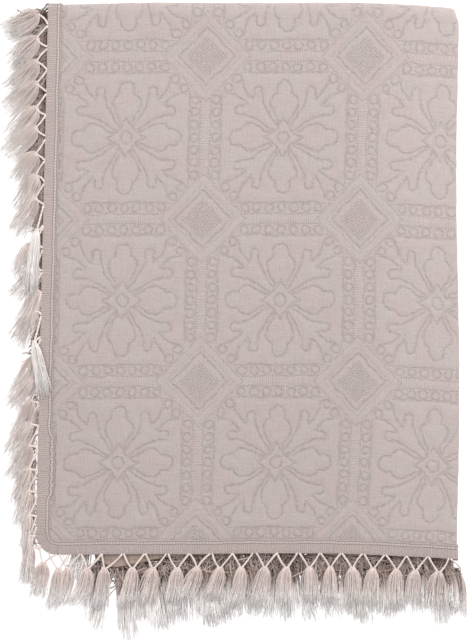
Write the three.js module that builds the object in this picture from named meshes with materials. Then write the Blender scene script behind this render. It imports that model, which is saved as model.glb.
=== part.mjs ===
// A fringed quilt, folded in four and laid flat on a surface. Millimetres, +Z up.
//
// The quilt is one woven cloth with rounded corners, folded once across (the fold at +Y) and then once
// along (the fold at +X). A heading tape is sewn round its edge on the face side, and a fringe of twisted
// cords and tassels hangs from the tape. Every piece is laid out on the flat cloth first, with s across the
// cloth, t along it and an offset towards the face, and drape() then folds that space into the stack.
// From the top down the layers are 1 (face up), 2 (face down), 3 (face up) and 4 (face down).

import * as THREE from 'three';

const { lerp, smoothstep, degToRad } = THREE.MathUtils;

// Driving dimensions.
const CLOTH = { width: 1265, length: 1710, thickness: 3, corner: 34 };
const TAPE = { width: 22, thickness: 1, overhang: 1.5, gap: 0.6 };
const FRINGE = { pitch: 34.4, lattice: 21, tassel: 59, cord: 4.6, cordHalf: 1.2, gap: 1.2 };

// The two folds: the radius of the cloth's middle, and the line where each fold turns.
const TOP_FOLD = { radius: 2.6, y: 489.9, t: CLOTH.length / 2 };
const SIDE_FOLD = { radius: 7.2, x: 335.2, s: 637 };
const LEG = CLOTH.length / 2 - (Math.PI / 2) * TOP_FOLD.radius;
const HALF_STACK = SIDE_FOLD.radius + TOP_FOLD.radius + CLOTH.thickness / 2;

// How far each corner of the cloth has slipped across, out being to the left. The front layer leans out at
// its foot and the layers under it lie further in.
const SLIP = {
  outer: { left: -20.5, right: -58 },
  inner: { left: 70, right: -60 },
};

// Where the foot of a layer hangs lower than its straight edge: across is the place along that edge.
const LOW_SPOTS = [
  { layer: 'outer', across: 210, drop: 1.5, spread: 90 },
  { layer: 'outer', across: 560, drop: 2, spread: 70 },
  { layer: 'outer', across: 1130, drop: 16, spread: 110 },
  { layer: 'inner', across: 25, drop: 22, spread: 70 },
  { layer: 'inner', across: 150, drop: 4, spread: 90 },
  { layer: 'inner', across: 410, drop: 5, spread: 75 },
];

// The stack's unevenness: fuller along its folds, flatter in the middle, sunk at its free corner.
const FULLNESS = { middle: 0.88, reach: 70, wave: 0.02, waveX: 57, waveY: 64, sink: 0.28 };
const SUNK_CORNER = { sideIn: -185, sideOut: -330, footIn: -20, footOut: -290 };
// The free edges stand off the surface by the tape that lies under them.
const LIFT = { height: 1.6, sideIn: -140, sideOut: -188, footIn: -270, footOut: -318 };
// The outline's unevenness: the ends of the top fold drop, the folded corner is round, and the side fold
// waves in and out, less and less towards the left.
const OUTLINE = {
  rightDrop: { by: 9.5, from: 170, over: 176 },
  leftDrop: { by: 3.5, from: -120, to: -330 },
  corner: { by: 6, x: 346, y: 494, round: 25 },
  wave: { by: 2.2, from: -250, to: 346, middle: 70, length: 105 },
};

// How the free side's fringe lies, by the share of the way from the top fold to the foot: the angles of its
// cords and tassels below the horizontal, what its tassels have over the plain length, and the share of
// their depth that its cords hang out. The layers underneath are combed down further.
const COMBED = [
  { down: 0, cords: -14, tassel: 26, longer: -4, reach: 0.68 },
  { down: 0.03, cords: -4, tassel: 38, longer: 2, reach: 0.7 },
  { down: 0.08, cords: 10, tassel: 46, longer: 5, reach: 0.68 },
  { down: 0.16, cords: 16, tassel: 50, longer: 6, reach: 0.66 },
  { down: 0.26, cords: 18, tassel: 54, longer: 4, reach: 0.64 },
  { down: 0.33, cords: 22, tassel: 60, longer: 1, reach: 0.62 },
  { down: 0.38, cords: 36, tassel: 61, longer: 0, reach: 0.62 },
  { down: 0.51, cords: 40, tassel: 66, longer: 2, reach: 0.62 },
  { down: 0.6, cords: 40, tassel: 61, longer: 2, reach: 0.64 },
  { down: 0.67, cords: 40, tassel: 57, longer: 3, reach: 0.74 },
  { down: 0.78, cords: 40, tassel: 59, longer: 4, reach: 0.8 },
  { down: 0.84, cords: 42, tassel: 68, longer: 2, reach: 0.82 },
  { down: 1, cords: 46, tassel: 78, longer: 0, reach: 0.78 },
];
const COVERED_SLANT = 10;
// How much further the tassels of the covered layers hang at the foot, by the place across the stack.
const HANGING = [
  { x: -240, longer: 30 },
  { x: -200, longer: 24 },
  { x: -50, longer: 18 },
  { x: 20, longer: 8 },
  { x: 140, longer: 5 },
  { x: 211, longer: 14 },
  { x: 290, longer: 0 },
];
// Half widths and half thicknesses of a tassel, and how it varies from one to the next.
const TASSELS = { waist: 2.4, belly: 10.5, tip: 7, bellyAt: 0.52, bellyHalf: 1.6, tipHalf: 0.7 };
const VARIED = { swing: 3.5, swingTurn: 2.4, ragged: 3, raggedTurn: 5.1 };
// Tassels that leave a rounded corner aslant stand closer together, so they are made narrower.
const CROWDED = 1.42;
// The heights at which the layers' fringes settle, and the free corner, where the front one goes down.
const LEVELS = { floor: 1.9, step: 4.2, reach: 62, faceOffset: 2, evenOffset: 1, clear: 0.1 };
const BARE_CORNER = { side: 56, foot: 430, full: 0.5, sunk: 0.75 };
const CORD_BEND = 40;
const SPLAY = { outer: 14, inner: 10, from: 300, to: 345 };

const CELLS = { legAcross: 9, legAlong: 5, bend: 6, corner: 3 };
const EDGE_BAND = 40;

const FINISH = {
  cloth: { color: 0xbfb2ae, roughness: 0.95, metalness: 0 },
  tape: { color: 0xbcb0ac, roughness: 0.95, metalness: 0 },
  fringe: { color: 0xc8bbb6, roughness: 0.9, metalness: 0 },
};

// One turn of 180 degrees in the plane of a fold. along is the distance past the fold line, and offset is
// how far the point lies outside the cloth's middle. Before the turn the point is on the upper leg.
function foldOver(along, radius, offset) {
  const quarter = (Math.PI / 2) * radius;
  if (Math.abs(along) > quarter) {
    return { reach: quarter - Math.abs(along), height: -Math.sign(along) * (radius + offset) };
  }
  const turn = along / radius;
  return { reach: (radius + offset) * Math.cos(turn), height: -(radius + offset) * Math.sin(turn) };
}

// The share of the way from the top fold to the foot, 0 on the fold itself.
function shareDown(t) {
  const quarter = (Math.PI / 2) * TOP_FOLD.radius;
  return Math.max(0, Math.abs(t - TOP_FOLD.t) - quarter) / LEG;
}

// The outer layers are 1 and 4, and the inner ones are 2 and 3.
function layerPair(t) {
  return t < TOP_FOLD.t ? 'outer' : 'inner';
}

function slipAcross(s, t) {
  const slip = SLIP[layerPair(t)];
  return shareDown(t) * lerp(slip.left, slip.right, (s / CLOTH.width) ** 3);
}

function footDrop(s, t) {
  const layer = layerPair(t);
  const spots = LOW_SPOTS.filter((spot) => spot.layer === layer);
  return spots.reduce((sum, spot) => {
    return sum + spot.drop * Math.exp(-(((s - spot.across) / spot.spread) ** 2));
  }, 0);
}

// 0 at from, rising smoothly to 1 at to, which lies below it.
function fallFrom(value, from, to) {
  return smoothstep(-value, -from, -to);
}

// The stack's thickness at a place, as a share of its full thickness.
function fullness(x, y) {
  const fromSide = Math.max(0, SIDE_FOLD.x + HALF_STACK - x);
  const fromTop = Math.max(0, TOP_FOLD.y + TOP_FOLD.radius - y);
  const flat = (1 - Math.exp(-fromSide / FULLNESS.reach)) * (1 - Math.exp(-fromTop / FULLNESS.reach));
  const wave = FULLNESS.wave * Math.sin(x / FULLNESS.waveX) * Math.cos(y / FULLNESS.waveY);
  const sunkSide = fallFrom(x, SUNK_CORNER.sideIn, SUNK_CORNER.sideOut);
  const sunkFoot = fallFrom(y, SUNK_CORNER.footIn, SUNK_CORNER.footOut);
  return (lerp(1, FULLNESS.middle, flat) + wave * flat) * (1 - FULLNESS.sink * sunkSide * sunkFoot);
}

function lift(x, y) {
  const side = fallFrom(x, LIFT.sideIn, LIFT.sideOut);
  const foot = fallFrom(y, LIFT.footIn, LIFT.footOut);
  return LIFT.height * (1 - (1 - side) * (1 - foot));
}

// Folds a point of the flat cloth's space into the stack. height is its place in the evenly spaced stack,
// from which the layer is known even where the stack is thin.
function drape(s, t, offset) {
  const top = foldOver(t - TOP_FOLD.t, TOP_FOLD.radius, offset);
  const across = s + slipAcross(s, t);
  const side = foldOver(across - SIDE_FOLD.s, SIDE_FOLD.radius, top.height);
  let x = SIDE_FOLD.x + side.reach;
  let y = TOP_FOLD.y + top.reach - shareDown(t) * footDrop(s, t);
  const height = side.height;
  const z = (height + HALF_STACK) * fullness(x, y) + lift(x, y);

  const { rightDrop, leftDrop, corner, wave } = OUTLINE;
  const right = Math.max(0, (x - rightDrop.from) / rightDrop.over);
  const left = fallFrom(x, leftDrop.from, leftDrop.to);
  const cornerX = smoothstep(x, corner.x - corner.round, corner.x);
  const cornerY = smoothstep(y, corner.y - corner.round, corner.y);
  const waving = wave.by * Math.sin((wave.middle - y) / wave.length);
  x += smoothstep(x, wave.from, wave.to) * waving - corner.by * cornerX * cornerY;
  y -= rightDrop.by * right ** 2 + leftDrop.by * left;
  return { point: new THREE.Vector3(x, y, z), height };
}

// Lines of the cloth's grid. A column keeps its place round the side fold, and a row round the top fold.
function sAcross(across, t) {
  let s = across;
  for (let round = 0; round < 8; round += 1) {
    s = across - slipAcross(s, t);
  }
  return s;
}

function steps(from, to, count) {
  return Array.from({ length: count }, (_, i) => lerp(from, to, (i + 1) / count));
}

function columnsAt(t) {
  const { width, corner } = CLOTH;
  const quarter = (Math.PI / 2) * SIDE_FOLD.radius;
  const arc = [0, ...steps(0, Math.PI / 2, CELLS.corner)].map((a) => corner * (1 - Math.cos(a)));
  const bend = [0, ...steps(0, 1, CELLS.bend)].map((share) => {
    return sAcross(SIDE_FOLD.s + lerp(-quarter, quarter, share), t);
  });
  return [
    ...arc,
    ...steps(corner, bend[0], CELLS.legAcross),
    ...bend.slice(1),
    ...steps(bend[CELLS.bend], width - corner, CELLS.legAcross),
    ...arc.slice(0, -1).reverse().map((s) => width - s),
  ];
}

function rowsAt(s) {
  const { width, length, corner } = CLOTH;
  const quarter = (Math.PI / 2) * TOP_FOLD.radius;
  const into = Math.max(0, corner - Math.min(s, width - s));
  const first = corner - Math.sqrt(corner ** 2 - into ** 2);
  const upper = TOP_FOLD.t - quarter;
  const lower = TOP_FOLD.t + quarter;
  return [
    first,
    EDGE_BAND,
    ...steps(EDGE_BAND, upper, CELLS.legAlong),
    ...steps(upper, lower, CELLS.bend),
    ...steps(lower, length - EDGE_BAND, CELLS.legAlong),
    length - first,
  ];
}

function bodyOf(geometry) {
  geometry.deleteAttribute('normal');
  geometry.deleteAttribute('uv');
  return geometry;
}

// The cloth: a flat board of cells, folded.
function quiltGeometry() {
  const rows = rowsAt(CLOTH.width / 2);
  const columnCount = columnsAt(0).length - 1;
  const rowCount = rows.length - 1;
  const board = new THREE.BoxGeometry(1, 1, 1, columnCount, rowCount, 1);
  const at = board.getAttribute('position');
  for (let k = 0; k < at.count; k += 1) {
    const column = Math.round((at.getX(k) + 0.5) * columnCount);
    const row = Math.round((at.getY(k) + 0.5) * rowCount);
    const s = columnsAt(rows[row])[column];
    const { point } = drape(s, rowsAt(s)[row], at.getZ(k) * CLOTH.thickness);
    at.setXYZ(k, point.x, point.y, point.z);
  }
  return bodyOf(board);
}

// Stations round the cloth's edge, anticlockwise on its face. Each gives the flat place that lies a
// distance outside the edge there, and keeps to the grid's own lines so that tape and cloth bend together.
function edgeStations() {
  const { width, length, corner } = CLOTH;
  const columns = columnsAt(0).length - 1;
  const along = Array.from({ length: columns + 1 }, (_, i) => i).slice(CELLS.corner, -CELLS.corner);
  const up = [corner, ...rowsAt(width / 2).slice(1, -1), length - corner];
  const foot = along.map((i) => (out) => [columnsAt(-out)[i], -out]);
  const head = along.map((i) => (out) => [columnsAt(length + out)[i], length + out]);
  const right = up.map((t) => (out) => [width + out, t]);
  const left = up.map((t) => (out) => [-out, t]);
  const turn = (s, t, from) => {
    return steps(from, from + 90, CELLS.corner).slice(0, -1).map((angle) => (out) => [
      s + (corner + out) * Math.cos(degToRad(angle)),
      t + (corner + out) * Math.sin(degToRad(angle)),
    ]);
  };
  return [
    ...foot,
    ...turn(width - corner, corner, -90),
    ...right,
    ...turn(width - corner, length - corner, 0),
    ...head.reverse(),
    ...turn(corner, length - corner, 90),
    ...left.reverse(),
    ...turn(corner, corner, 180),
  ];
}

// The heading tape: a ring of square section whose four sides are its edges and its two faces.
function tapeGeometry() {
  const stations = edgeStations();
  const ring = new THREE.TorusGeometry(2, 1, 4, stations.length);
  const at = ring.getAttribute('position');
  const uv = ring.getAttribute('uv');
  const under = CLOTH.thickness / 2 + TAPE.gap;
  const over = under + TAPE.thickness;
  const outer = TAPE.overhang;
  const inner = TAPE.overhang - TAPE.width;
  const section = [[outer, under], [outer, over], [inner, over], [inner, under]];
  for (let k = 0; k < at.count; k += 1) {
    const station = stations[Math.round(uv.getX(k) * stations.length) % stations.length];
    const [out, offset] = section[Math.round(uv.getY(k) * 4) % 4];
    const { point } = drape(...station(out), offset);
    at.setXYZ(k, point.x, point.y, point.z);
  }
  return bodyOf(ring);
}

// A place on one edge of the cloth, from the middle of one rounded corner to the middle of the next:
// how far along the edge it lies, how far in from it, and the way out from the cloth there.
function edgeRun(length) {
  const { corner } = CLOTH;
  const eighth = (Math.PI / 4) * corner;
  const total = length - 2 * corner + 2 * eighth;
  const place = (distance) => {
    const near = Math.max(0, eighth - distance) / corner;
    const far = Math.max(0, distance - (total - eighth)) / corner;
    const angle = far - near;
    const start = far > 0 ? length - corner : corner;
    const straight = near === 0 && far === 0 ? corner + distance - eighth : start;
    return {
      along: straight + corner * Math.sin(angle),
      inset: corner * (1 - Math.cos(angle)),
      outAlong: Math.sin(angle),
      outInset: -Math.cos(angle),
    };
  };
  return { total, place };
}

// The cloth's four edges, as a fringe is sewn to each: foot edges lie at the foot of the stack, side edges
// at its free side. Each turns a place on its edge into the flat cloth's s and t.
// short is how far the fringe stops from the middles of the corners, lattice is how deep its cords hang, and
// longer is what its tassels have over the plain length.
const EDGES = [
  {
    name: 'fringe_foot_outer',
    length: CLOTH.width,
    short: -8,
    lattice: FRINGE.lattice,
    longer: 0,
    turn: (along, inset) => [along, inset],
  },
  {
    name: 'fringe_foot_inner',
    length: CLOTH.width,
    short: -8,
    lattice: FRINGE.lattice + 4,
    longer: 0,
    turn: (along, inset) => [along, CLOTH.length - inset],
  },
  {
    name: 'fringe_side_front',
    length: CLOTH.length,
    short: 18,
    lattice: FRINGE.lattice,
    longer: 0,
    turn: (along, inset) => [inset, along],
  },
  {
    name: 'fringe_side_back',
    length: CLOTH.length,
    short: 18,
    lattice: FRINGE.lattice,
    longer: 3,
    turn: (along, inset) => [CLOTH.width - inset, along],
  },
];

// A value of a table's column between two of its rows, by another column that rises from row to row.
function between(table, by, at, column) {
  const held = Math.min(Math.max(at, table[0][by]), table[table.length - 1][by]);
  const next = Math.max(1, table.findIndex((row) => row[by] >= held));
  const [before, after] = [table[next - 1], table[next]];
  return lerp(before[column], after[column], (held - before[by]) / (after[by] - before[by]));
}

// How the fringe lies at a place on the cloth's edge.
function combedAt(s, t) {
  const down = shareDown(t);
  const frontLayer = t < TOP_FOLD.t && s < CLOTH.width / 2;
  const more = frontLayer ? 0 : COVERED_SLANT * Math.min(1, down);
  const hanging = between(HANGING, 'x', drape(s, t, 0).point.x, 'longer');
  return {
    cords: between(COMBED, 'down', down, 'cords') + more,
    tassel: between(COMBED, 'down', down, 'tassel') + more,
    longer: between(COMBED, 'down', down, 'longer'),
    reach: between(COMBED, 'down', down, 'reach'),
    hanging: frontLayer ? 0 : hanging,
  };
}

// The next points of a cord's edge. Round the side fold a cord bends in its middle too.
function cordTo(line, end) {
  const last = line[line.length - 1];
  const middle = last.clone().add(end).multiplyScalar(0.5);
  const bent = Math.abs(middle.x - SIDE_FOLD.s) < CORD_BEND;
  return bent ? [middle, end] : [end];
}

// The flat outline of a fringe: cords run zigzag from one point of the tape to the next, and a tassel
// hangs where two of them meet.
function combOutline(edge) {
  const run = edgeRun(edge.length);
  const sewn = run.total - 2 * edge.short;
  const count = Math.round(sewn / FRINGE.pitch);
  const pitch = sewn / count;
  const start = TAPE.overhang + FRINGE.gap;
  const flat = (along, inset) => new THREE.Vector2(...edge.turn(along, inset));
  const outAt = (distance, out) => {
    const p = run.place(distance);
    return flat(p.along + out * p.outAlong, p.inset + out * p.outInset);
  };
  const upper = [outAt(edge.short, start)];
  const lower = [outAt(edge.short, start + FRINGE.cord)];
  for (let tooth = 0; tooth < count; tooth += 1) {
    const middle = edge.short + (tooth + 0.5) * pitch;
    const root = outAt(middle, start);
    const out = outAt(middle, start + 1).sub(root);
    const down = new THREE.Vector2(0, root.y < TOP_FOLD.t ? -1 : 1);
    const combed = combedAt(root.x, root.y);
    const sideways = out.x ** 2;
    const swing = VARIED.swing * Math.sin(VARIED.swingTurn * tooth + edge.longer);
    const aim = (angle) => {
      const way = out.clone().add(down.clone().multiplyScalar(Math.tan(degToRad(angle)))).normalize();
      return way.rotateAround(new THREE.Vector2(), degToRad(swing));
    };
    const head = aim(sideways * combed.cords);
    const axis = aim(sideways * combed.tassel);
    const wide = new THREE.Vector2(-axis.y, axis.x);
    if (wide.dot(outAt(middle + 1, start).sub(root)) < 0) wide.negate();
    const room = Math.min(1, Math.abs(wide.dot(outAt(middle + 1, start).sub(root))) * CROWDED);
    const uneven = VARIED.ragged * Math.sin(VARIED.raggedTurn * tooth);
    const longer = lerp(combed.hanging, combed.longer, sideways);
    const length = FRINGE.tassel + edge.longer + longer + uneven;
    const lattice = edge.lattice * lerp(1, combed.reach, sideways);
    const knot = root.clone().addScaledVector(head, lattice);
    const at = (share, half) => {
      return knot.clone().addScaledVector(axis, share * length).addScaledVector(wide, half * room);
    };
    upper.push(...cordTo(upper, root.clone().addScaledVector(head, lattice - FRINGE.cord)));
    upper.push(...cordTo(upper, outAt(middle + pitch / 2, start)));
    lower.push(...cordTo(lower, at(0, -TASSELS.waist)));
    lower.push(at(TASSELS.bellyAt, -TASSELS.belly), at(1, -TASSELS.tip));
    lower.push(at(1, TASSELS.tip), at(TASSELS.bellyAt, TASSELS.belly), at(0, TASSELS.waist));
    lower.push(...cordTo(lower, outAt(middle + pitch / 2, start + FRINGE.cord)));
  }
  return [...lower, ...upper.reverse()];
}

// How far a flat place lies outside the cloth's rounded outline.
function outsideBy(s, t) {
  const { width, length, corner } = CLOTH;
  const past = Math.abs(s - width / 2) - (width / 2 - corner);
  const over = Math.abs(t - length / 2) - (length / 2 - corner);
  return Math.hypot(Math.max(past, 0), Math.max(over, 0)) + Math.min(0, Math.max(past, over)) - corner;
}

// Half the fringe's thickness at a distance from the tape: cords, the tassels' bellies, and thin ends.
function fringeHalf(out) {
  const belly = FRINGE.lattice + TASSELS.bellyAt * FRINGE.tassel;
  const swell = smoothstep(out, FRINGE.lattice, belly);
  const thin = smoothstep(out, belly, FRINGE.lattice + FRINGE.tassel);
  return lerp(lerp(FRINGE.cordHalf, TASSELS.bellyHalf, swell), TASSELS.tipHalf, thin);
}

// Folds a point of the fringe. Away from the tape the fringes of the four layers settle on each other, and
// the front one goes down to the surface where no layer lies under it.
function drapeFringe(s, t, side) {
  const out = outsideBy(s, t) - TAPE.overhang - FRINGE.gap;
  const settled = Math.sin((Math.PI / 2) * Math.min(1, Math.max(0, out) / LEVELS.reach));
  const offset = lerp(LEVELS.faceOffset, LEVELS.evenOffset, settled);
  const { point, height } = drape(s, t, offset);
  const normal = drape(s, t, offset + 1).point.sub(drape(s, t, offset - 1).point).normalize();
  const layer = height / SIDE_FOLD.radius + 1.5;
  const fromCorner = Math.hypot(s / BARE_CORNER.side, t / BARE_CORNER.foot);
  const bare = 1 - smoothstep(fromCorner, BARE_CORNER.full, 1);
  const level = LEVELS.floor + LEVELS.step * layer * (1 - BARE_CORNER.sunk * bare);
  point.z = lerp(point.z, level, settled);
  point.z = Math.max(point.z, fringeHalf(out) + LEVELS.clear);
  point.x += SPLAY[layerPair(t)] * settled * smoothstep(point.x, SPLAY.from, SPLAY.to);
  return point.addScaledVector(normal, side * fringeHalf(out));
}

// One fringe: its flat outline cut from a sheet, folded with the cloth.
function fringeGeometry(edge) {
  const sheet = new THREE.ExtrudeGeometry(new THREE.Shape(combOutline(edge)), {
    depth: 2,
    bevelEnabled: false,
  });
  const at = sheet.getAttribute('position');
  for (let k = 0; k < at.count; k += 1) {
    const point = drapeFringe(at.getX(k), at.getY(k), at.getZ(k) - 1);
    at.setXYZ(k, point.x, point.y, point.z);
  }
  return bodyOf(sheet);
}

function piece(name, geometry, finish) {
  const mesh = new THREE.Mesh(geometry, new THREE.MeshStandardMaterial(finish));
  mesh.name = name;
  return mesh;
}

const foldedQuilt = new THREE.Group();
foldedQuilt.add(piece('quilt', quiltGeometry(), FINISH.cloth));
foldedQuilt.add(piece('heading_tape', tapeGeometry(), FINISH.tape));
for (const edge of EDGES) {
  foldedQuilt.add(piece(edge.name, fringeGeometry(edge), FINISH.fringe));
}

// The origin is the middle of the underside of everything together.
const box = new THREE.Box3().setFromObject(foldedQuilt);
const centre = box.getCenter(new THREE.Vector3());
foldedQuilt.position.set(-centre.x, -centre.y, -box.min.z);

export default foldedQuilt;
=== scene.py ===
"""A fringed quilt, folded in four and lying flat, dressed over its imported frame.

The cloth, its heading tape and its fringe are laid out on the flat cloth first, with s across it, t along it
and an offset towards its face, in millimetres. Folding carries that flat space into the folded stack, and
every mesh is made in metres from the result.
"""

from __future__ import annotations

import logging
import math
from dataclasses import dataclass, field
from enum import Enum

import bpy
import numpy as np
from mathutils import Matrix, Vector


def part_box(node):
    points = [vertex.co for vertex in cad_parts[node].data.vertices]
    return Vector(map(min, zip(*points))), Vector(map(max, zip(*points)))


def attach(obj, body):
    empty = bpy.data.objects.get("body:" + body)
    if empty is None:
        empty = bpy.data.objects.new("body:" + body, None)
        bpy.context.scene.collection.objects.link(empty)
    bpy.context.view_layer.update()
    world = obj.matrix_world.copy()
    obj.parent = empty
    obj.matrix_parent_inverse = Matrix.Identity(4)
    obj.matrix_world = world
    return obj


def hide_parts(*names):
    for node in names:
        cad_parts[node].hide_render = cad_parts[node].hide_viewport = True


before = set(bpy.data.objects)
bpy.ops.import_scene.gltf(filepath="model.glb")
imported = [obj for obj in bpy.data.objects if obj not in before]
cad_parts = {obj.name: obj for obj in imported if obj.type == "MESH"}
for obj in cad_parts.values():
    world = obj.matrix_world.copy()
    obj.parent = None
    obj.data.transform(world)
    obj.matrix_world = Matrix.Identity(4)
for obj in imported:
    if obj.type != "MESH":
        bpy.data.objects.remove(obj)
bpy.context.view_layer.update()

Array = np.ndarray
Colour = tuple[float, float, float]
Socket = bpy.types.NodeSocket
LOG = logging.getLogger("fringed_quilt")
MM = 0.001
ROOT = "root"


def ramp(value: Array, low: float, high: float) -> Array:
    """Rises from 0 at low to 1 at high in a smooth step.

    Args:
        value: The values to grade.
        low: Where the step begins.
        high: Where the step ends.

    Returns:
        3 q squared less 2 q cubed, where q is the share of the way from low to high, held within 0 and 1.
    """
    share = np.clip((value - low) / (high - low), 0.0, 1.0)
    return share * share * (3.0 - 2.0 * share)


def fall(value: Array, low: float, high: float) -> Array:
    """Falls from 1 at low to 0 at high in a smooth step."""
    return 1.0 - ramp(value, low, high)


def blend(first: Array | float, second: Array | float, share: Array) -> Array:
    """The value at a share of the way from the first to the second."""
    return first + (second - first) * share


def quarter_turned(ways: Array) -> Array:
    """Flat ways turned a quarter round, anticlockwise."""
    return np.stack([-ways[:, 1], ways[:, 0]], axis=-1)


class Pair(Enum):
    """The two pairs of layers that the top fold makes: 1 and 4 outside, 2 and 3 inside."""

    OUTER = "outer"
    INNER = "inner"


@dataclass(frozen=True)
class LowSpot:
    """A place where the foot of a layer hangs lower than its straight edge."""

    pair: Pair
    across: float
    drop: float
    spread: float


@dataclass(frozen=True)
class Span:
    """A stretch over which something grows from nothing to its whole amount."""

    low: float
    high: float

    def grown(self, value: Array) -> Array:
        """The share that has grown at a place, in a smooth step."""
        return ramp(value, self.low, self.high)


@dataclass(frozen=True)
class Bend(Span):
    """A change of the outline, in millimetres, that grows over its span."""

    by: float


@dataclass(frozen=True)
class Cloth:
    """The flat cut of the cloth, in millimetres."""

    width: float = 1265.0
    length: float = 1710.0
    thickness: float = 3.0
    corner: float = 34.0

    def outside_by(self, s: Array, t: Array) -> Array:
        """How far a flat place lies outside the rounded outline.

        Args:
            s: Places across the cloth.
            t: Places along the cloth.

        Returns:
            The signed distance from a rectangle with round corners, negative on the cloth.
        """
        past = np.abs(s - self.width / 2) - (self.width / 2 - self.corner)
        over = np.abs(t - self.length / 2) - (self.length / 2 - self.corner)
        outer = np.hypot(np.maximum(past, 0.0), np.maximum(over, 0.0))
        return outer + np.minimum(0.0, np.maximum(past, over)) - self.corner


@dataclass
class Folding:
    """Carries the flat cloth's space into the stack: one fold across it, then one along it.

    Sizes and places are in millimetres, and the stack's own middle is near its origin.
    """

    cloth: Cloth = field(default_factory=Cloth)
    top_radius: float = 2.6
    top_y: float = 489.9
    side_radius: float = 7.2
    side_x: float = 335.2
    side_s: float = 637.0
    past_fold: float = 40.0
    slips: dict[Pair, tuple[float, float]] = field(
        default_factory=lambda: {Pair.OUTER: (-20.5, -58.0), Pair.INNER: (70.0, -60.0)}
    )
    low_spots: tuple[LowSpot, ...] = (
        LowSpot(Pair.OUTER, 210.0, 1.5, 90.0),
        LowSpot(Pair.OUTER, 560.0, 2.0, 70.0),
        LowSpot(Pair.OUTER, 1130.0, 16.0, 110.0),
        LowSpot(Pair.INNER, 25.0, 22.0, 70.0),
        LowSpot(Pair.INNER, 150.0, 4.0, 90.0),
        LowSpot(Pair.INNER, 410.0, 5.0, 75.0),
    )
    middle_fullness: float = 0.88
    fullness_reach: float = 70.0
    fullness_wave: float = 0.02
    fullness_turns: tuple[float, float] = (57.0, 64.0)
    sunk: float = 0.28
    sinks_leftwards: Span = Span(185.0, 330.0)
    sinks_downwards: Span = Span(20.0, 290.0)
    lifted: float = 1.6
    lifts_leftwards: Span = Span(140.0, 188.0)
    lifts_downwards: Span = Span(270.0, 318.0)
    right_drop: Bend = Bend(170.0, 346.0, 9.5)
    left_drop: Bend = Bend(120.0, 330.0, 3.5)
    corner_cut: Bend = Bend(321.0, 346.0, 6.0)
    corner_cut_up: Span = Span(469.0, 494.0)
    side_wave: Bend = Bend(-250.0, 346.0, 2.2)
    side_wave_start: float = 70.0
    side_wave_turn: float = 105.0
    shift: Array = field(default_factory=lambda: np.zeros(3))

    @property
    def top_t(self) -> float:
        """Where the top fold lies along the cloth."""
        return self.cloth.length / 2

    @property
    def half_stack(self) -> float:
        """Half the thickness of the evenly spaced stack."""
        return self.side_radius + self.top_radius + self.cloth.thickness / 2

    @staticmethod
    def fold_over(along: Array, radius: float, offset: Array) -> tuple[Array, Array]:
        """One turn of 180 degrees in the plane of a fold.

        Args:
            along: The distance past the fold line.
            radius: The radius of the cloth's middle in the fold.
            offset: How far the point lies outside the cloth's middle.

        Returns:
            The reach past the start of the arc and the height: on the arc they are the cosine and the sine
            of the turn times radius plus offset, and off it the reach falls with the distance from the arc.
        """
        quarter = math.pi / 2 * radius
        turn = np.clip(along, -quarter, quarter) / radius
        reach = np.minimum(0.0, quarter - np.abs(along)) + (radius + offset) * np.cos(turn)
        return reach, -(radius + offset) * np.sin(turn)

    def share_down(self, t: Array) -> Array:
        """The share of the way from the top fold to the foot, 0 on the fold itself."""
        quarter = math.pi / 2 * self.top_radius
        leg = self.cloth.length / 2 - quarter
        return np.maximum(0.0, np.abs(t - self.top_t) - quarter) / leg

    def by_pair(self, t: Array, outer: Array | float, inner: Array | float) -> Array:
        """Picks the outer layers' value or the inner layers' one by the place along the cloth."""
        return np.where(t < self.top_t, outer, inner)

    def slip(self, s: Array, t: Array) -> Array:
        """How far a place has slipped across: in proportion to the way down, and to the cube of s."""
        outer, inner = self.slips[Pair.OUTER], self.slips[Pair.INNER]
        left = self.by_pair(t, outer[0], inner[0])
        right = self.by_pair(t, outer[1], inner[1])
        return self.share_down(t) * blend(left, right, (s / self.cloth.width) ** 3)

    def foot_drop(self, s: Array, t: Array) -> Array:
        """How much lower than its straight edge the foot of a layer hangs.

        Args:
            s: Places across the cloth.
            t: Places along it, which tell the pair of layers.

        Returns:
            The sum of the pair's low spots, each a bell curve across the cloth.
        """
        drops = {
            pair: sum(
                spot.drop * np.exp(-(((s - spot.across) / spot.spread) ** 2))
                for spot in self.low_spots
                if spot.pair is pair
            )
            for pair in Pair
        }
        return self.by_pair(t, drops[Pair.OUTER], drops[Pair.INNER])

    def fullness(self, x: Array, y: Array) -> Array:
        """The stack's thickness as a share of its full one.

        Args:
            x: Places across the stack.
            y: Places up it.

        Returns:
            Full at the folds, less away from them by an exponential, with low swells of a sine by a cosine,
            and sunk towards the free corner.
        """
        from_side = np.maximum(0.0, self.side_x + self.half_stack - x)
        from_top = np.maximum(0.0, self.top_y + self.top_radius - y)
        reach = self.fullness_reach
        flat = (1 - np.exp(-from_side / reach)) * (1 - np.exp(-from_top / reach))
        across, along = self.fullness_turns
        swell = self.fullness_wave * np.sin(x / across) * np.cos(y / along)
        sink = self.sunk * self.sinks_leftwards.grown(-x) * self.sinks_downwards.grown(-y)
        return (blend(1.0, self.middle_fullness, flat) + swell * flat) * (1 - sink)

    def lift(self, x: Array, y: Array) -> Array:
        """How far the free edges stand off the surface, over the tape that lies under them."""
        side = self.lifts_leftwards.grown(-x)
        foot = self.lifts_downwards.grown(-y)
        return self.lifted * (1 - (1 - side) * (1 - foot))

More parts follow.
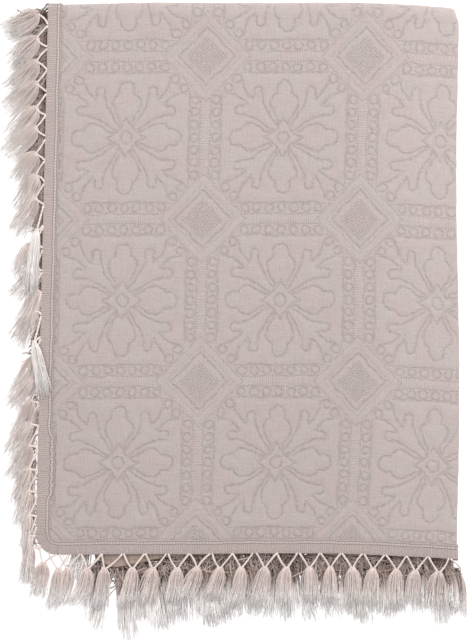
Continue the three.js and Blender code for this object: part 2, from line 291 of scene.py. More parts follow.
    def place(self, s: Array, t: Array, offset: Array | float) -> tuple[Array, Array]:
        """Folds places of the flat cloth's space into the stack.

        Args:
            s: Places across the cloth.
            t: Places along the cloth.
            offset: Distances towards the face from the cloth's middle.

        Returns:
            The folded points, in millimetres, and each one's height in the evenly spaced stack. After the
            two turns the outline is bent: it drops to the right with the square of the way and a little at
            the lower left, its free corner at the top is drawn in, and its side waves as a sine.
        """
        s, t, offset = np.broadcast_arrays(*(np.asarray(v, float) for v in (s, t, offset)))
        top_reach, top_height = self.fold_over(t - self.top_t, self.top_radius, offset)
        across = s + self.slip(s, t) - self.side_s
        side_reach, height = self.fold_over(across, self.side_radius, top_height)
        x = self.side_x + side_reach
        y = self.top_y + top_reach - self.share_down(t) * self.foot_drop(s, t)
        z = (height + self.half_stack) * self.fullness(x, y) + self.lift(x, y)
        drop = self.right_drop
        right = np.maximum(0.0, (x - drop.low) / (drop.high - drop.low))
        left = self.left_drop.grown(-x)
        corner = self.corner_cut.grown(x) * self.corner_cut_up.grown(y)
        turn = np.sin((self.side_wave_start - y) / self.side_wave_turn)
        waving = self.side_wave.grown(x) * self.side_wave.by * turn
        y = y - drop.by * right**2 - self.left_drop.by * left
        x = x + waving - self.corner_cut.by * corner
        return np.stack([x, y, z], axis=-1), height

    def settled_shift(self, t: Array) -> Array:
        """How far the columns lie from their even places, so that they keep to the side fold."""
        s = np.full_like(np.asarray(t, float), self.side_s)
        for _ in range(8):
            s = self.side_s - self.slip(s, t)
        return s - self.side_s

    def metres(self, points: Array) -> Array:
        """Points of the stack in the frame's metres, pressed flat where they touch the surface."""
        placed = (points + self.shift) * MM
        placed[..., 2] = np.maximum(placed[..., 2], 0.0)
        return placed


class Wire:
    """A number in a material: one output of its node tree, with the ordinary operators on it."""

    def __init__(self, tree: bpy.types.NodeTree, output: Socket) -> None:
        """Keeps the tree and the output."""
        self.tree = tree
        self.output = output

    def math(self, operation: str, *others: "Wire | float") -> "Wire":
        """Adds a Math node.

        Args:
            operation: The node's operation.
            others: The further numbers that it takes.

        Returns:
            Its result.
        """
        node = self.tree.nodes.new("ShaderNodeMath")
        node.operation = operation
        for socket, value in zip(node.inputs, (self, *others)):
            plug(self.tree, socket, value)
        return Wire(self.tree, node.outputs[0])

    def __add__(self, other: "Wire | float") -> "Wire":
        """Sum."""
        return self.math("ADD", other)

    __radd__ = __add__

    def __sub__(self, other: "Wire | float") -> "Wire":
        """Difference."""
        return self.math("SUBTRACT", other)

    def __rsub__(self, other: float) -> "Wire":
        """Difference from a plain number."""
        return self.math("MULTIPLY", -1.0) + other

    def __mul__(self, other: "Wire | float") -> "Wire":
        """Product."""
        return self.math("MULTIPLY", other)

    __rmul__ = __mul__

    def __truediv__(self, other: "Wire | float") -> "Wire":
        """Quotient."""
        return self.math("DIVIDE", other)


Number = Array | Wire


def plug(tree: bpy.types.NodeTree, socket: Socket, value: object) -> None:
    """Links a wire or an output into a socket, or sets a plain value on it.

    Args:
        tree: The material's node tree.
        socket: The input to feed.
        value: A wire, a node's output or a plain value.
    """
    if isinstance(value, Wire):
        tree.links.new(value.output, socket)
    elif isinstance(value, Socket):
        tree.links.new(value, socket)
    else:
        socket.default_value = value


def smaller(first: Number, second: Number | float) -> Number:
    """The smaller of two numbers."""
    if isinstance(first, Wire):
        return first.math("MINIMUM", second)
    return np.minimum(first, second)


def larger(first: Number, second: Number | float) -> Number:
    """The larger of two numbers."""
    if isinstance(first, Wire):
        return first.math("MAXIMUM", second)
    return np.maximum(first, second)


def rounding(first: Number, second: Number | float, reach: float) -> Number:
    """How much a corner between two numbers is rounded: the square of what is left of the reach."""
    near = larger(reach - size_of(first - second), 0.0)
    return near * near / (4 * reach)


def softer(first: Number, second: Number | float, reach: float) -> Number:
    """The smaller of two numbers, rounded off where they lie within a reach of each other."""
    return smaller(first, second) - rounding(first, second, reach)


def fuller(first: Number, second: Number | float, reach: float) -> Number:
    """The larger of two numbers, rounded off where they lie within a reach of each other."""
    return larger(first, second) + rounding(first, second, reach)


def size_of(value: Number) -> Number:
    """A number without its sign."""
    return value.math("ABSOLUTE") if isinstance(value, Wire) else np.abs(value)


def distance(first: Number, second: Number) -> Number:
    """The root of the sum of two squares."""
    squares = first * first + second * second
    return squares.math("SQRT") if isinstance(squares, Wire) else np.sqrt(squares)


def from_nearest(value: Number, pitch: float) -> Number:
    """The signed distance from the nearest whole multiple of a pitch."""
    if isinstance(value, Wire):
        return value.math("WRAP", pitch / 2, -pitch / 2)
    return (value + pitch / 2) % pitch - pitch / 2


def wave(value: Number, pitch: float) -> Number:
    """A cosine that comes back after each pitch."""
    turns = value * (2 * math.pi / pitch)
    return turns.math("COSINE") if isinstance(turns, Wire) else np.cos(turns)


def step_up(value: Number, low: float, high: float) -> Number:
    """A smooth step, of plain numbers or of a material's.

    Args:
        value: What to grade.
        low: Where the step begins.
        high: Where it ends.

    Returns:
        0 up to low, 1 from high on, and between them 3 q squared less 2 q cubed.
    """
    if not isinstance(value, Wire):
        return ramp(value, low, high)
    node = value.tree.nodes.new("ShaderNodeMapRange")
    node.interpolation_type = "SMOOTHSTEP"
    plug(value.tree, node.inputs["Value"], value)
    node.inputs["From Min"].default_value = low
    node.inputs["From Max"].default_value = high
    return Wire(value.tree, node.outputs[0])


# How far one step along each of two axes reaches along the slant between them.
ON_SLANT = 0.707


@dataclass(frozen=True)
class Flower:
    """The four-petal flower in the middle of an octagon, in shares of half a tile from its middle.

    m is the larger and n the smaller of a place's two distances from the flower's axes, so one eighth of
    the tile is drawn and the rest are its mirror images. A scale turns a distance along n into the one
    square to a slanting line.
    """

    eye: float = 0.072
    star_tip: float = 0.240
    slope: float = 0.66
    slope_scale: float = 0.85
    petal_start: float = 0.16
    neck_foot: float = 0.385
    neck_half: float = 0.190
    neck_least: float = 0.078
    body_start: float = 0.41
    body_half: float = 0.183
    body_squeeze: float = 1.2
    body_join: float = 0.07
    lobe_start: float = 0.45
    lobe_middle: float = 0.595
    lobe_half: float = 0.097
    stem_span: tuple[float, float] = (0.14, 0.52)
    stem_foot: tuple[float, float] = (0.19, 0.125)
    stem_slope: float = 0.64
    stem_scale: float = 0.87
    stem_side: float = 0.283
    stem_join: float = 0.08
    hook_start: float = 0.51
    hook_middle: tuple[float, float] = (0.575, 0.336)
    hook_half: float = 0.053
    leaf_span: tuple[float, float] = (0.62, 0.90)
    leaf_beside: float = 0.050
    leaf_opens: float = 0.70
    leaf_opening: float = 1.9
    leaf_scale: float = 0.9

    def eye_and_star(self, x: Number, y: Number, m: Number, n: Number) -> list[Number]:
        """The ring of the eye, and the star whose sides slope down to its four points."""
        side = size_of(n - (self.star_tip - m) * self.slope) * self.slope_scale
        return [size_of(distance(x, y) - self.eye), larger(side, m - self.star_tip)]

    def petal(self, m: Number, n: Number) -> Number:
        """The outline of a petal.

        Args:
            m: The larger distance from the flower's axes.
            n: The smaller one.

        Returns:
            The distance from a neck that opens to a round body, with a lobe at its tip.
        """
        opened = self.neck_half - (self.neck_foot - m) * self.slope
        neck = (n - larger(opened, self.neck_least)) * self.slope_scale
        body = distance(larger(m - self.body_start, 0.0) * self.body_squeeze, n) - self.body_half
        lobe = distance(larger(m - self.lobe_middle, 0.0), n) - self.lobe_half
        outline = smaller(fuller(body, neck, self.body_join), larger(lobe, self.lobe_start - m))
        return larger(size_of(outline), self.petal_start - m)

    def stem_and_hook(self, m: Number, n: Number) -> list[Number]:
        """The stem beside a petal, and its hook.

        Args:
            m: The larger distance from the flower's axes.
            n: The smaller one.

        Returns:
            The distances from a slanting line that turns to run straight, and from part of a ring at its end.
        """
        foot, low = self.stem_foot
        line = softer(low + (m - foot) * self.stem_slope, self.stem_side, self.stem_join)
        stem = larger(size_of(n - line) * self.stem_scale, m - self.stem_span[1])
        out, aside = self.hook_middle
        hook = size_of(distance(larger(m - out, 0.0), n - aside) - self.hook_half)
        return [larger(stem, self.stem_span[0] - m), larger(hook, self.hook_start - m)]

    def leaf(self, m: Number, n: Number) -> Number:
        """The pair of leaves that opens towards the tile's corner with the square of the way out."""
        beside, outwards = (m - n) * ON_SLANT, (m + n) * ON_SLANT
        opening = larger(outwards - self.leaf_opens, 0.0)
        middle = self.leaf_beside + opening * opening * self.leaf_opening
        side = size_of(beside - middle) * self.leaf_scale
        return larger(larger(side, self.leaf_span[0] - outwards), outwards - self.leaf_span[1])

    def strokes(self, x: Number, y: Number, m: Number, n: Number) -> list[Number]:
        """Distances from all the lines of the flower."""
        return [*self.eye_and_star(x, y, m, n), self.petal(m, n), *self.stem_and_hook(m, n), self.leaf(m, n)]


@dataclass(frozen=True)
class TilePattern:
    """The woven pattern: a common tiling of octagons and diamonds, with a flower in each octagon.

    Lengths inside a tile are shares of half a tile, from the middle of its flower, with the flower's m and
    n. A line is drawn finer by adding a little to its distance.
    """

    repeat_s: float = 246.0
    repeat_t: float = 252.5
    first_s: float = 124.0
    first_t: float = 139.5
    flower: Flower = Flower()
    bar: float = 0.80
    bar_end: Span = Span(0.40, 0.60)
    cut: float = 0.60
    finer: float = 0.012
    diamond: float = 0.455
    diamond_pair: float = 0.10
    diamond_finer: Bend = Bend(0.44, 0.47, 0.009)
    diamond_faint: float = 0.43
    ladder: float = 0.937
    ladder_finer: float = 0.008
    ladder_end: Span = Span(0.56, 0.62)
    rungs: float = 0.028
    bead_pitch: float = 0.156
    bead: float = 0.05
    bead_row: float = 0.865
    bead_end: float = 0.55
    corner_row: float = 0.67
    field: float = 0.285
    check_s: float = 4.8
    check_t: float = 3.9

    def place(self, s: Number, t: Number) -> tuple[Number, Number, Number, Number]:
        """A flat place as x and y in its tile, and as the folded m and n."""
        x = from_nearest(s - self.first_s, self.repeat_s) * (2 / self.repeat_s)
        y = from_nearest(t - self.first_t, self.repeat_t) * (2 / self.repeat_t)
        across, along = size_of(x), size_of(y)
        return x, y, larger(across, along), smaller(across, along)

    def frame_strokes(self, m: Number, n: Number) -> list[Number]:
        """Distances from the lines of the tile's frame.

        Args:
            m: The larger distance from the flower's axes.
            n: The smaller one.

        Returns:
            The octagon, two strong lines and a faint one round each diamond, the ladder's rail, and
            rings for the beads on the bars and on the diagonals.
        """
        corner = 2.0 - m - n
        octagon = size_of(m - self.bar) + step_up(n, self.bar_end.low, self.bar_end.high) * self.finer
        octagon = larger(octagon, self.cut - corner)
        fine = step_up(corner, self.diamond_finer.low, self.diamond_finer.high) * self.diamond_finer.by
        diamond = size_of(size_of(corner - self.diamond) - self.diamond_pair) * ON_SLANT + fine
        faint = size_of(corner - self.diamond_faint) * ON_SLANT + self.finer
        rail = size_of(m - self.ladder) + self.ladder_finer
        ladder = larger(rail, self.ladder_end.low - corner)
        on_bar = distance(m - self.bead_row, from_nearest(n, self.bead_pitch))
        bar_beads = larger(size_of(on_bar - self.bead), n - self.bead_end)
        beside = (m - n) * ON_SLANT - self.bead_pitch / 2
        corner_beads = size_of(distance((corner - self.corner_row) * ON_SLANT, beside) - self.bead)
        return [octagon, diamond, faint, ladder, bar_beads, corner_beads]

    def nearest(self, s: Number, t: Number) -> Number:
        """The pattern's line that lies nearest.

        Args:
            s: Places across the cloth.
            t: Places along the cloth.

        Returns:
            The distance to it, as a share of half a tile: the least of all the strokes' distances.
        """
        x, y, m, n = self.place(s, t)
        strokes = self.frame_strokes(m, n) + self.flower.strokes(x, y, m, n)
        least = strokes[0]
        for stroke in strokes[1:]:
            least = smaller(least, stroke)
        return least

    def corner_of(self, s: Number, t: Number) -> Number:
        """How far a flat place lies from the middle of the nearest diamond, along the slant."""
        _, _, m, n = self.place(s, t)
        return 2.0 - m - n

    def texture(self, s: Number, t: Number) -> tuple[Number, Number]:
        """The fine weaves of the tile.

        Args:
            s: Places across the cloth.
            t: Places along the cloth.

        Both run from -1 to 1, and are 0 outside their fields.
        """
        _, _, m, n = self.place(s, t)
        corner = 2.0 - m - n
        inside = 1.0 - step_up(corner, self.field - 0.02, self.field + 0.02)
        checks = wave(s, self.check_s) * wave(t, self.check_t) * inside
        on_ladder = step_up(m, self.ladder - 0.03, self.ladder)
        on_ladder = on_ladder * step_up(corner, self.ladder_end.low, self.ladder_end.high)
        return checks, wave(n, self.rungs) * on_ladder


@dataclass
class Shell:
    """A mesh under construction: its points, its faces and the values on its points."""

    points: Array
    quads: Array
    triangles: Array
    values: dict[str, Array] = field(default_factory=dict)
    flat_places: Array | None = None

    def build(self, name: str, material: bpy.types.Material) -> bpy.types.Object:
        """Makes the object.

        Args:
            name: The piece's name.
            material: Its finish.

        Returns:
            The object, linked into the scene, with its point values as attributes and its flat places as
            a UV map in metres.
        """
        mesh = bpy.data.meshes.new(name)
        loops = np.concatenate([self.quads.ravel(), self.triangles.ravel()]).astype(np.int32)
        sizes = np.concatenate([np.full(len(self.quads), 4), np.full(len(self.triangles), 3)])
        starts = np.concatenate([[0], np.cumsum(sizes)[:-1]])
        mesh.vertices.add(len(self.points))
        mesh.vertices.foreach_set("co", self.points.astype(np.float32).ravel())
        mesh.loops.add(len(loops))
        mesh.loops.foreach_set("vertex_index", loops)
        mesh.polygons.add(len(sizes))
        mesh.polygons.foreach_set("loop_start", starts.astype(np.int32))
        mesh.polygons.foreach_set("use_smooth", np.ones(len(sizes), bool))
        mesh.update(calc_edges=True)
        for key, value in self.values.items():
            attribute = mesh.attributes.new(key, "FLOAT", "POINT")
            attribute.data.foreach_set("value", value.astype(np.float32).ravel())
        if self.flat_places is not None:
            layer = mesh.uv_layers.new(name="flat")
            layer.data.foreach_set("uv", self.flat_places[loops].astype(np.float32).ravel())
        mesh.validate()
        mesh.materials.append(material)
        piece = bpy.data.objects.new(name, mesh)
        bpy.context.scene.collection.objects.link(piece)
        return piece


def joined(shells: list[Shell]) -> Shell:
    """Puts several shells into one.

    Args:
        shells: The shells, each with its own point numbers from 0.

    Returns:
        One shell with their points in a row, and with the values that all of them have.
    """
    starts = np.cumsum([0] + [len(shell.points) for shell in shells[:-1]])
    keys = set.intersection(*(set(shell.values) for shell in shells))
    return Shell(
        np.concatenate([shell.points for shell in shells]),
        np.concatenate([shell.quads + start for shell, start in zip(shells, starts)]),
        np.concatenate([shell.triangles + start for shell, start in zip(shells, starts)]),
        {key: np.concatenate([shell.values[key] for shell in shells]) for key in sorted(keys)},
    )


# The way up, tilted a little so that no path runs straight along it, and a length that keeps a nought
# from being divided by.
ALMOST_UP = np.array([0.05, 0.03, 1.0])
TINY = 1e-12


def tubes(paths: Array, radii: Array, sides: int, values: dict[str, Array]) -> Shell:
    """Carries a round section along many paths at once, and closes its two ends.

    Args:
        paths: Points of the paths, by path and by step, in metres.
        radii: The section's radius at each of them.
        sides: How many sides the section has.
        values: Values for each point of the paths.

    Returns:
        Closed tubes: each ring lies in the plane across its path, on the side direction (the path's
        direction crossed with up) and on the direction square to both.
    """
    count, steps = radii.shape
    ahead = np.gradient(paths, axis=1)
    ahead /= np.linalg.norm(ahead, axis=-1, keepdims=True) + TINY
    side = np.cross(ahead, ALMOST_UP)
    side /= np.linalg.norm(side, axis=-1, keepdims=True) + TINY
    over = np.cross(side, ahead)
    angle = 2 * math.pi * np.arange(sides) / sides
    ring = side[:, :, None] * np.cos(angle)[:, None] + over[:, :, None] * np.sin(angle)[:, None]
    points = paths[:, :, None] + ring * radii[:, :, None, None]
    index = np.arange(count * steps * sides).reshape(count, steps, sides)
    near, far = index[:, :-1], index[:, 1:]
    quads = np.stack([near, np.roll(near, -1, 2), np.roll(far, -1, 2), far], axis=-1).reshape(-1, 4)
    first, last = index[:, 0], index[:, -1]
    fan = np.arange(1, sides - 1)
    start_caps = np.stack([first[:, [0] * len(fan)], first[:, fan + 1], first[:, fan]], axis=-1)
    end_caps = np.stack([last[:, [0] * len(fan)], last[:, fan], last[:, fan + 1]], axis=-1)
    triangles = np.concatenate([start_caps.reshape(-1, 3), end_caps.reshape(-1, 3)])
    spread = {
        key: np.broadcast_to(value[:, :, None], (count, steps, sides)).ravel()
        for key, value in values.items()
    }
    return Shell(points.reshape(-1, 3), quads, triangles, spread)


class Finish:
    """A procedural finish under construction: a Principled shader and helpers for its nodes."""

    def __init__(self, name: str, roughness: float, sheen: float) -> None:
        """Starts a material with its constant values on the shader's own sockets.

        Args:
            name: The material's name.
            roughness: How dull it is.
            sheen: How much its fibres catch the light.
        """
        self.material = bpy.data.materials.new(name)
        self.material.use_nodes = True
        self.tree = self.material.node_tree
        self.shader = self.tree.nodes["Principled BSDF"]
        self.shader.inputs["Roughness"].default_value = roughness
        self.shader.inputs["Sheen Weight"].default_value = sheen
        self.shader.inputs["Sheen Roughness"].default_value = 0.5
        self.shader.inputs["Specular IOR Level"].default_value = 0.2

    def attribute(self, name: str) -> Wire:
        """A value kept on the mesh's points."""
        node = self.tree.nodes.new("ShaderNodeAttribute")
        node.attribute_name = name
        return Wire(self.tree, node.outputs["Fac"])

    def flat_place(self) -> tuple[Wire, Wire]:
        """The flat place s and t of a surface, in millimetres, from its UV map in metres."""
        node = self.tree.nodes.new("ShaderNodeUVMap")
        node.uv_map = "flat"
        parts = self.tree.nodes.new("ShaderNodeSeparateXYZ")
        self.tree.links.new(node.outputs[0], parts.inputs[0])
        return Wire(self.tree, parts.outputs[0]) / MM, Wire(self.tree, parts.outputs[1]) / MM

    def noise(self, x: Wire, y: Wire, detail: float, seed: float) -> Wire:
        """Smooth noise over two coordinates.

        Args:
            x: The first coordinate, with one lump for each unit.
            y: The second one.
            detail: How many finer layers lie on the first.
            seed: The place along the noise's third axis.

        Returns:
            The noise, between 0 and 1.
        """
        vector = self.tree.nodes.new("ShaderNodeCombineXYZ")
        plug(self.tree, vector.inputs[0], x)
        plug(self.tree, vector.inputs[1], y)
        vector.inputs[2].default_value = seed
        node = self.tree.nodes.new("ShaderNodeTexNoise")
        node.inputs["Scale"].default_value = 1.0
        node.inputs["Detail"].default_value = detail
        self.tree.links.new(vector.outputs[0], node.inputs["Vector"])
        return Wire(self.tree, node.outputs[0])

    def grain(self, x: Wire, y: Wire, size: float, detail: float, seed: float) -> Wire:
        """Noise about 0, from -0.5 to 0.5, with lumps of one size both ways."""
        return self.noise(x / size, y / size, detail, seed) - 0.5

    def mixed(self, share: Wire, first: Colour | Socket, second: Colour) -> Socket:
        """A colour between two, of which the first may come from another node.

        Args:
            share: The share of the second, from 0 to 1.
            first: A plain colour or a node's output.
            second: A plain colour.

        Returns:
            The colour that lies that share of the way from the first to the second.
        """
        node = self.tree.nodes.new("ShaderNodeMix")
        node.data_type = "RGBA"
        plug(self.tree, node.inputs["Factor"], share)
        plug(self.tree, node.inputs["A"], (*first, 1.0) if isinstance(first, tuple) else first)
        plug(self.tree, node.inputs["B"], (*second, 1.0))
        return node.outputs["Result"]

    def scaled(self, colour: Socket, by: Wire) -> Socket:
        """A colour times a number."""
        node = self.tree.nodes.new("ShaderNodeVectorMath")
        node.operation = "SCALE"
        plug(self.tree, node.inputs[0], colour)
        plug(self.tree, node.inputs["Scale"], by)
        return node.outputs[0]

    def coloured(self, colour: Colour | Socket, tone: Wire) -> None:
        """Sets the shader's colour to a colour times a number."""
        plug(self.tree, self.shader.inputs["Base Color"], self.scaled(colour, tone))

    def raised(self, height: Wire) -> None:
        """Bends the shading by a height in millimetres."""
        bump = self.tree.nodes.new("ShaderNodeBump")
        bump.inputs["Distance"].default_value = MM
        plug(self.tree, bump.inputs["Height"], height)
        self.tree.links.new(bump.outputs[0], self.shader.inputs["Normal"])


# Cotton where other layers shade it.
SHADED_COTTON: Colour = (0.375, 0.280, 0.240)


@dataclass(frozen=True)
class QuiltedClothFinish:
    """Pink-beige woven cotton with the tile pattern sunk into it as soft, slightly darker lines.

    Sizes are in millimetres, but the lines' edges are in shares of half a tile. Shades are shares of the
    cloth's own colour. A drift is the size of its lumps and how far it moves the pattern, and a streak is
    how wide and how long it is.
    """

    cloth: Cloth = Cloth()
    pattern: TilePattern = TilePattern()
    base: Colour = (0.448, 0.372, 0.358)
    cool: Colour = (0.438, 0.385, 0.364)
    side_fold: float = Folding.side_s
    seam: float = 23.0
    seam_shade: float = 0.07
    drift: tuple[float, float] = (22.0, 7.0)
    drift_finer: tuple[float, float] = (5.0, 2.6)
    line_edge: Span = Span(0.003, 0.023)
    line_soft: Span = Span(0.0, 0.075)
    line_shade: float = 0.135
    line_depth: float = 0.6
    soft_depth: float = 0.35
    field_shade: float = 0.10
    check_shade: float = 0.30
    check_depth: float = 0.16
    rung_shade: float = 0.10
    rung_depth: float = 0.12
    streak: tuple[float, float] = (3.0, 24.0)
    streak_shade: tuple[float, float] = (0.19, 0.17)
    streak_depth: float = 0.4
    speck: float = 2.6
    speck_shade: float = 0.30
    speck_depth: float = 0.45
    patch: float = 42.0
    thread: float = 0.9
    thread_depth: float = 0.035

    def edge_distance(self, s: Wire, t: Wire) -> Wire:
        """How far in from the cloth's nearest edge a flat place lies."""
        side = smaller(s, self.cloth.width - s)
        return smaller(side, smaller(t, self.cloth.length - t))

    def drifted(self, finish: Finish, s: Wire, t: Wire) -> tuple[Wire, Wire]:
        """Moves a flat place a little, so that no woven line runs quite true.

        Args:
            finish: The material.
            s: The place across the cloth.
            t: The place along it.

        Returns:
            The place with noise of two sizes added each way.
        """
        (size, far), (finer, less) = self.drift, self.drift_finer
        drift_s = finish.grain(s, t, size, 1.0, 3.0) * far
        drift_t = finish.grain(s, t, size, 1.0, 9.0) * far
        drift_s = drift_s + finish.grain(s, t, finer, 0.0, 13.0) * less
        drift_t = drift_t + finish.grain(s, t, finer, 0.0, 19.0) * less
        return s + drift_s, t + drift_t

    def painted_fold_highlight(self, s: Wire, t: Wire) -> Wire:
        """A painted highlight: how much paler the face is along its two folds, most on the fold, and fading
        beside it.
        """
        beside_top = step_up(size_of(t - self.cloth.length / 2), 2.0, 22.0)
        beside_side = step_up(size_of(s - self.side_fold), 8.0, 190.0)
        return (1.0 - beside_top) * 0.12 + (1.0 - beside_side) * 0.06

    def shade(self, finish: Finish, bent: tuple[Wire, Wire], place: tuple[Wire, Wire], line: Wire) -> Wire:
        """How much darker the woven figures are.

        Args:
            finish: The material.
            bent: The drifted flat place.
            place: The flat place.
            line: 1 on the pattern's lines and 0 away from them.

        Returns:
            The sum of the lines' shade, which is worn away in places, the seam's and the diamonds'.
        """
        field, (s, t) = self.pattern.field, place
        worn = step_up(finish.noise(s / 8.0, t / 8.0, 2.0, 5.0), 0.33, 0.60)
        stitched = 1.0 - step_up(size_of(self.edge_distance(*bent) - self.seam), 0.4, 1.3)
        shade = line * (worn * 0.9 + 0.35) * self.line_shade + stitched * self.seam_shade
        in_diamond = 1.0 - step_up(self.pattern.corner_of(*bent), field - 0.05, field)
        return shade + in_diamond * self.field_shade

    def make(self) -> bpy.types.Material:
        """Builds the material.

        Returns:
            The material. Its height is the sum of the sunk lines, the checks and rungs, and the threads of
            the weave; its colour is darker on the lines, varies a little in streaks and patches, has a
            painted highlight along the folds, and turns to shaded cotton as painted shade on the covered
            layers.
        """
        finish = Finish("quilted_cloth", roughness=0.92, sheen=0.25)
        s, t = finish.flat_place()
        bent = self.drifted(finish, s, t)
        nearest = self.pattern.nearest(*bent)
        line = 1.0 - step_up(nearest, self.line_edge.low, self.line_edge.high)
        soft = 1.0 - step_up(nearest, self.line_soft.low, self.line_soft.high)
        checks, rungs = self.pattern.texture(*bent)
        fine, long = self.streak
        streaks_down = finish.noise(s / fine, t / long, 2.0, 1.0) - 0.5
        streaks_over = finish.noise(s / long, t / fine, 2.0, 2.0) - 0.5
        specks = finish.grain(s, t, self.speck, 1.0, 8.0)
        tone = 1.0 - self.shade(finish, bent, (s, t), line)
        tone = tone + checks * self.check_shade + rungs * self.rung_shade
        tone = tone + streaks_down * self.streak_shade[0] + streaks_over * self.streak_shade[1]
        # Painted highlight: the face is paler along its two folds.
        tone = tone + specks * self.speck_shade + self.painted_fold_highlight(s, t)
        patches = step_up(finish.noise(s / self.patch, t / self.patch, 3.0, 7.0), 0.35, 0.65)
        colour = finish.mixed(patches, self.base, self.cool)
        finish.coloured(finish.mixed(finish.attribute("deep"), colour, SHADED_COTTON), tone)
        threads = wave(s, self.thread) * wave(t, self.thread) * self.thread_depth
        height = threads + checks * self.check_depth + rungs * self.rung_depth
        height = height - line * self.line_depth - soft * self.soft_depth
        height = height + (streaks_down + streaks_over) * self.streak_depth + specks * self.speck_depth
        finish.raised(height)
        return finish.material


@dataclass(frozen=True)
class TapeWeave:
    """How the tape is woven, in millimetres: its ribs, and the row of loops near its inner edge."""

    rib: float = 3.1
    ribbed_to: float = 13.0
    loop: float = 4.65
    loop_row: float = 17.5


@dataclass(frozen=True)
class RibbedTapeFinish:
    """Ribbed woven tape, with a row of pale loops between two dark gaps near its inner edge."""

    weave: TapeWeave = TapeWeave()
    base: Colour = (0.430, 0.355, 0.335)
    pale: Colour = (0.590, 0.525, 0.500)
    gap_beside: float = 2.2
    rib_shade: float = 0.13
    gap_shade: float = 0.34
    grain_shade: float = 0.62
    patch_shade: float = 0.10

    def make(self) -> bpy.types.Material:
        """Builds the material.

        Returns:
            The material. Along the tape its ribs are a cosine, and across it the loops' row is a band with
            a dark line on each side.
        """
        finish, weave = Finish("ribbed_tape", roughness=0.95, sheen=0.2), self.weave
        along, inwards = finish.flat_place()
        ribbed = 1.0 - step_up(inwards, weave.ribbed_to, weave.ribbed_to + 1.5)
        bunched = (finish.noise(along / 8.0, inwards / 14.0, 1.0, 7.0) - 0.5) * 5.0
        ribs = wave(along + bunched, weave.rib) * ribbed
        band = 1.0 - step_up(size_of(inwards - weave.loop_row), 0.9, 1.6)
        uneven = finish.noise(along / 3.0, inwards / 3.0, 1.0, 11.0) * 0.9
        loops = step_up(wave(along, weave.loop), -0.5, 0.3) * band * (uneven + 0.45)
        gaps = 1.0 - step_up(size_of(size_of(inwards - weave.loop_row) - self.gap_beside), 0.2, 1.0)
        grain = finish.grain(along, inwards, 2.2, 2.0, 4.0)
        patches = finish.grain(along, inwards, 35.0, 2.0, 6.0)
        tone = 1.0 + ribs * self.rib_shade - gaps * self.gap_shade
        tone = tone + grain * self.grain_shade + patches * self.patch_shade
        colour = finish.mixed(loops, self.base, self.pale)
        finish.coloured(finish.mixed(finish.attribute("deep"), colour, SHADED_COTTON), tone)
        finish.raised(ribs * 0.25 + loops * 0.3 - gaps * 0.3 + grain * 0.6)
        return finish.material


@dataclass(frozen=True)
class FringeYarnFinish:
    """Loose cotton yarn: each strand a little different, paler to its tip as painted light, and deep in
    painted shade under others.
    """

    base: Colour = (0.790, 0.665, 0.620)
    # Painted light: the near-white that the strands pale to at their tips.
    tip: Colour = (0.992, 0.952, 0.934)
    deep: Colour = (0.150, 0.082, 0.057)
    strand_shade: float = 0.24
    fibre_shade: float = 0.12
    brightness: float = 0.99

    def make(self) -> bpy.types.Material:
        """Builds the material from the strand, paler and deep values of the mesh: paler mixes in the tips'
        painted light, and deep the painted shade.
        """
        finish = Finish("fringe_yarn", roughness=0.9, sheen=0.3)
        strand, paler = finish.attribute("strand"), finish.attribute("paler")
        deep = finish.attribute("deep")
        # Painted light towards the tips, then painted shade where deep is high.
        colour = finish.mixed(paler, self.base, self.tip)
        fibres = finish.noise(strand * 90.0, paler * 14.0, 2.0, 2.0) - 0.5
        tone = (strand - 0.5) * self.strand_shade + fibres * self.fibre_shade + self.brightness
        finish.coloured(finish.mixed(deep, colour, self.deep), tone)
        finish.raised(fibres * 0.15)
        return finish.material


@dataclass(frozen=True)
class Crease:
    """A crease beside the top fold, in millimetres: where, how far below it, its lean and its shape."""

    across: float
    below: float
    lean: float
    half_width: float
    height: float
    reach: float

    def height_at(self, s: Array, below: Array) -> Array:
        """A bell curve over the crease's leaning line, which ends smoothly at its reach."""
        line = self.below + self.lean * (s - self.across)
        bell = self.height * np.exp(-(((below + line) / self.half_width) ** 2))
        return bell * fall(np.abs(s - self.across), 0.45 * self.reach, self.reach)


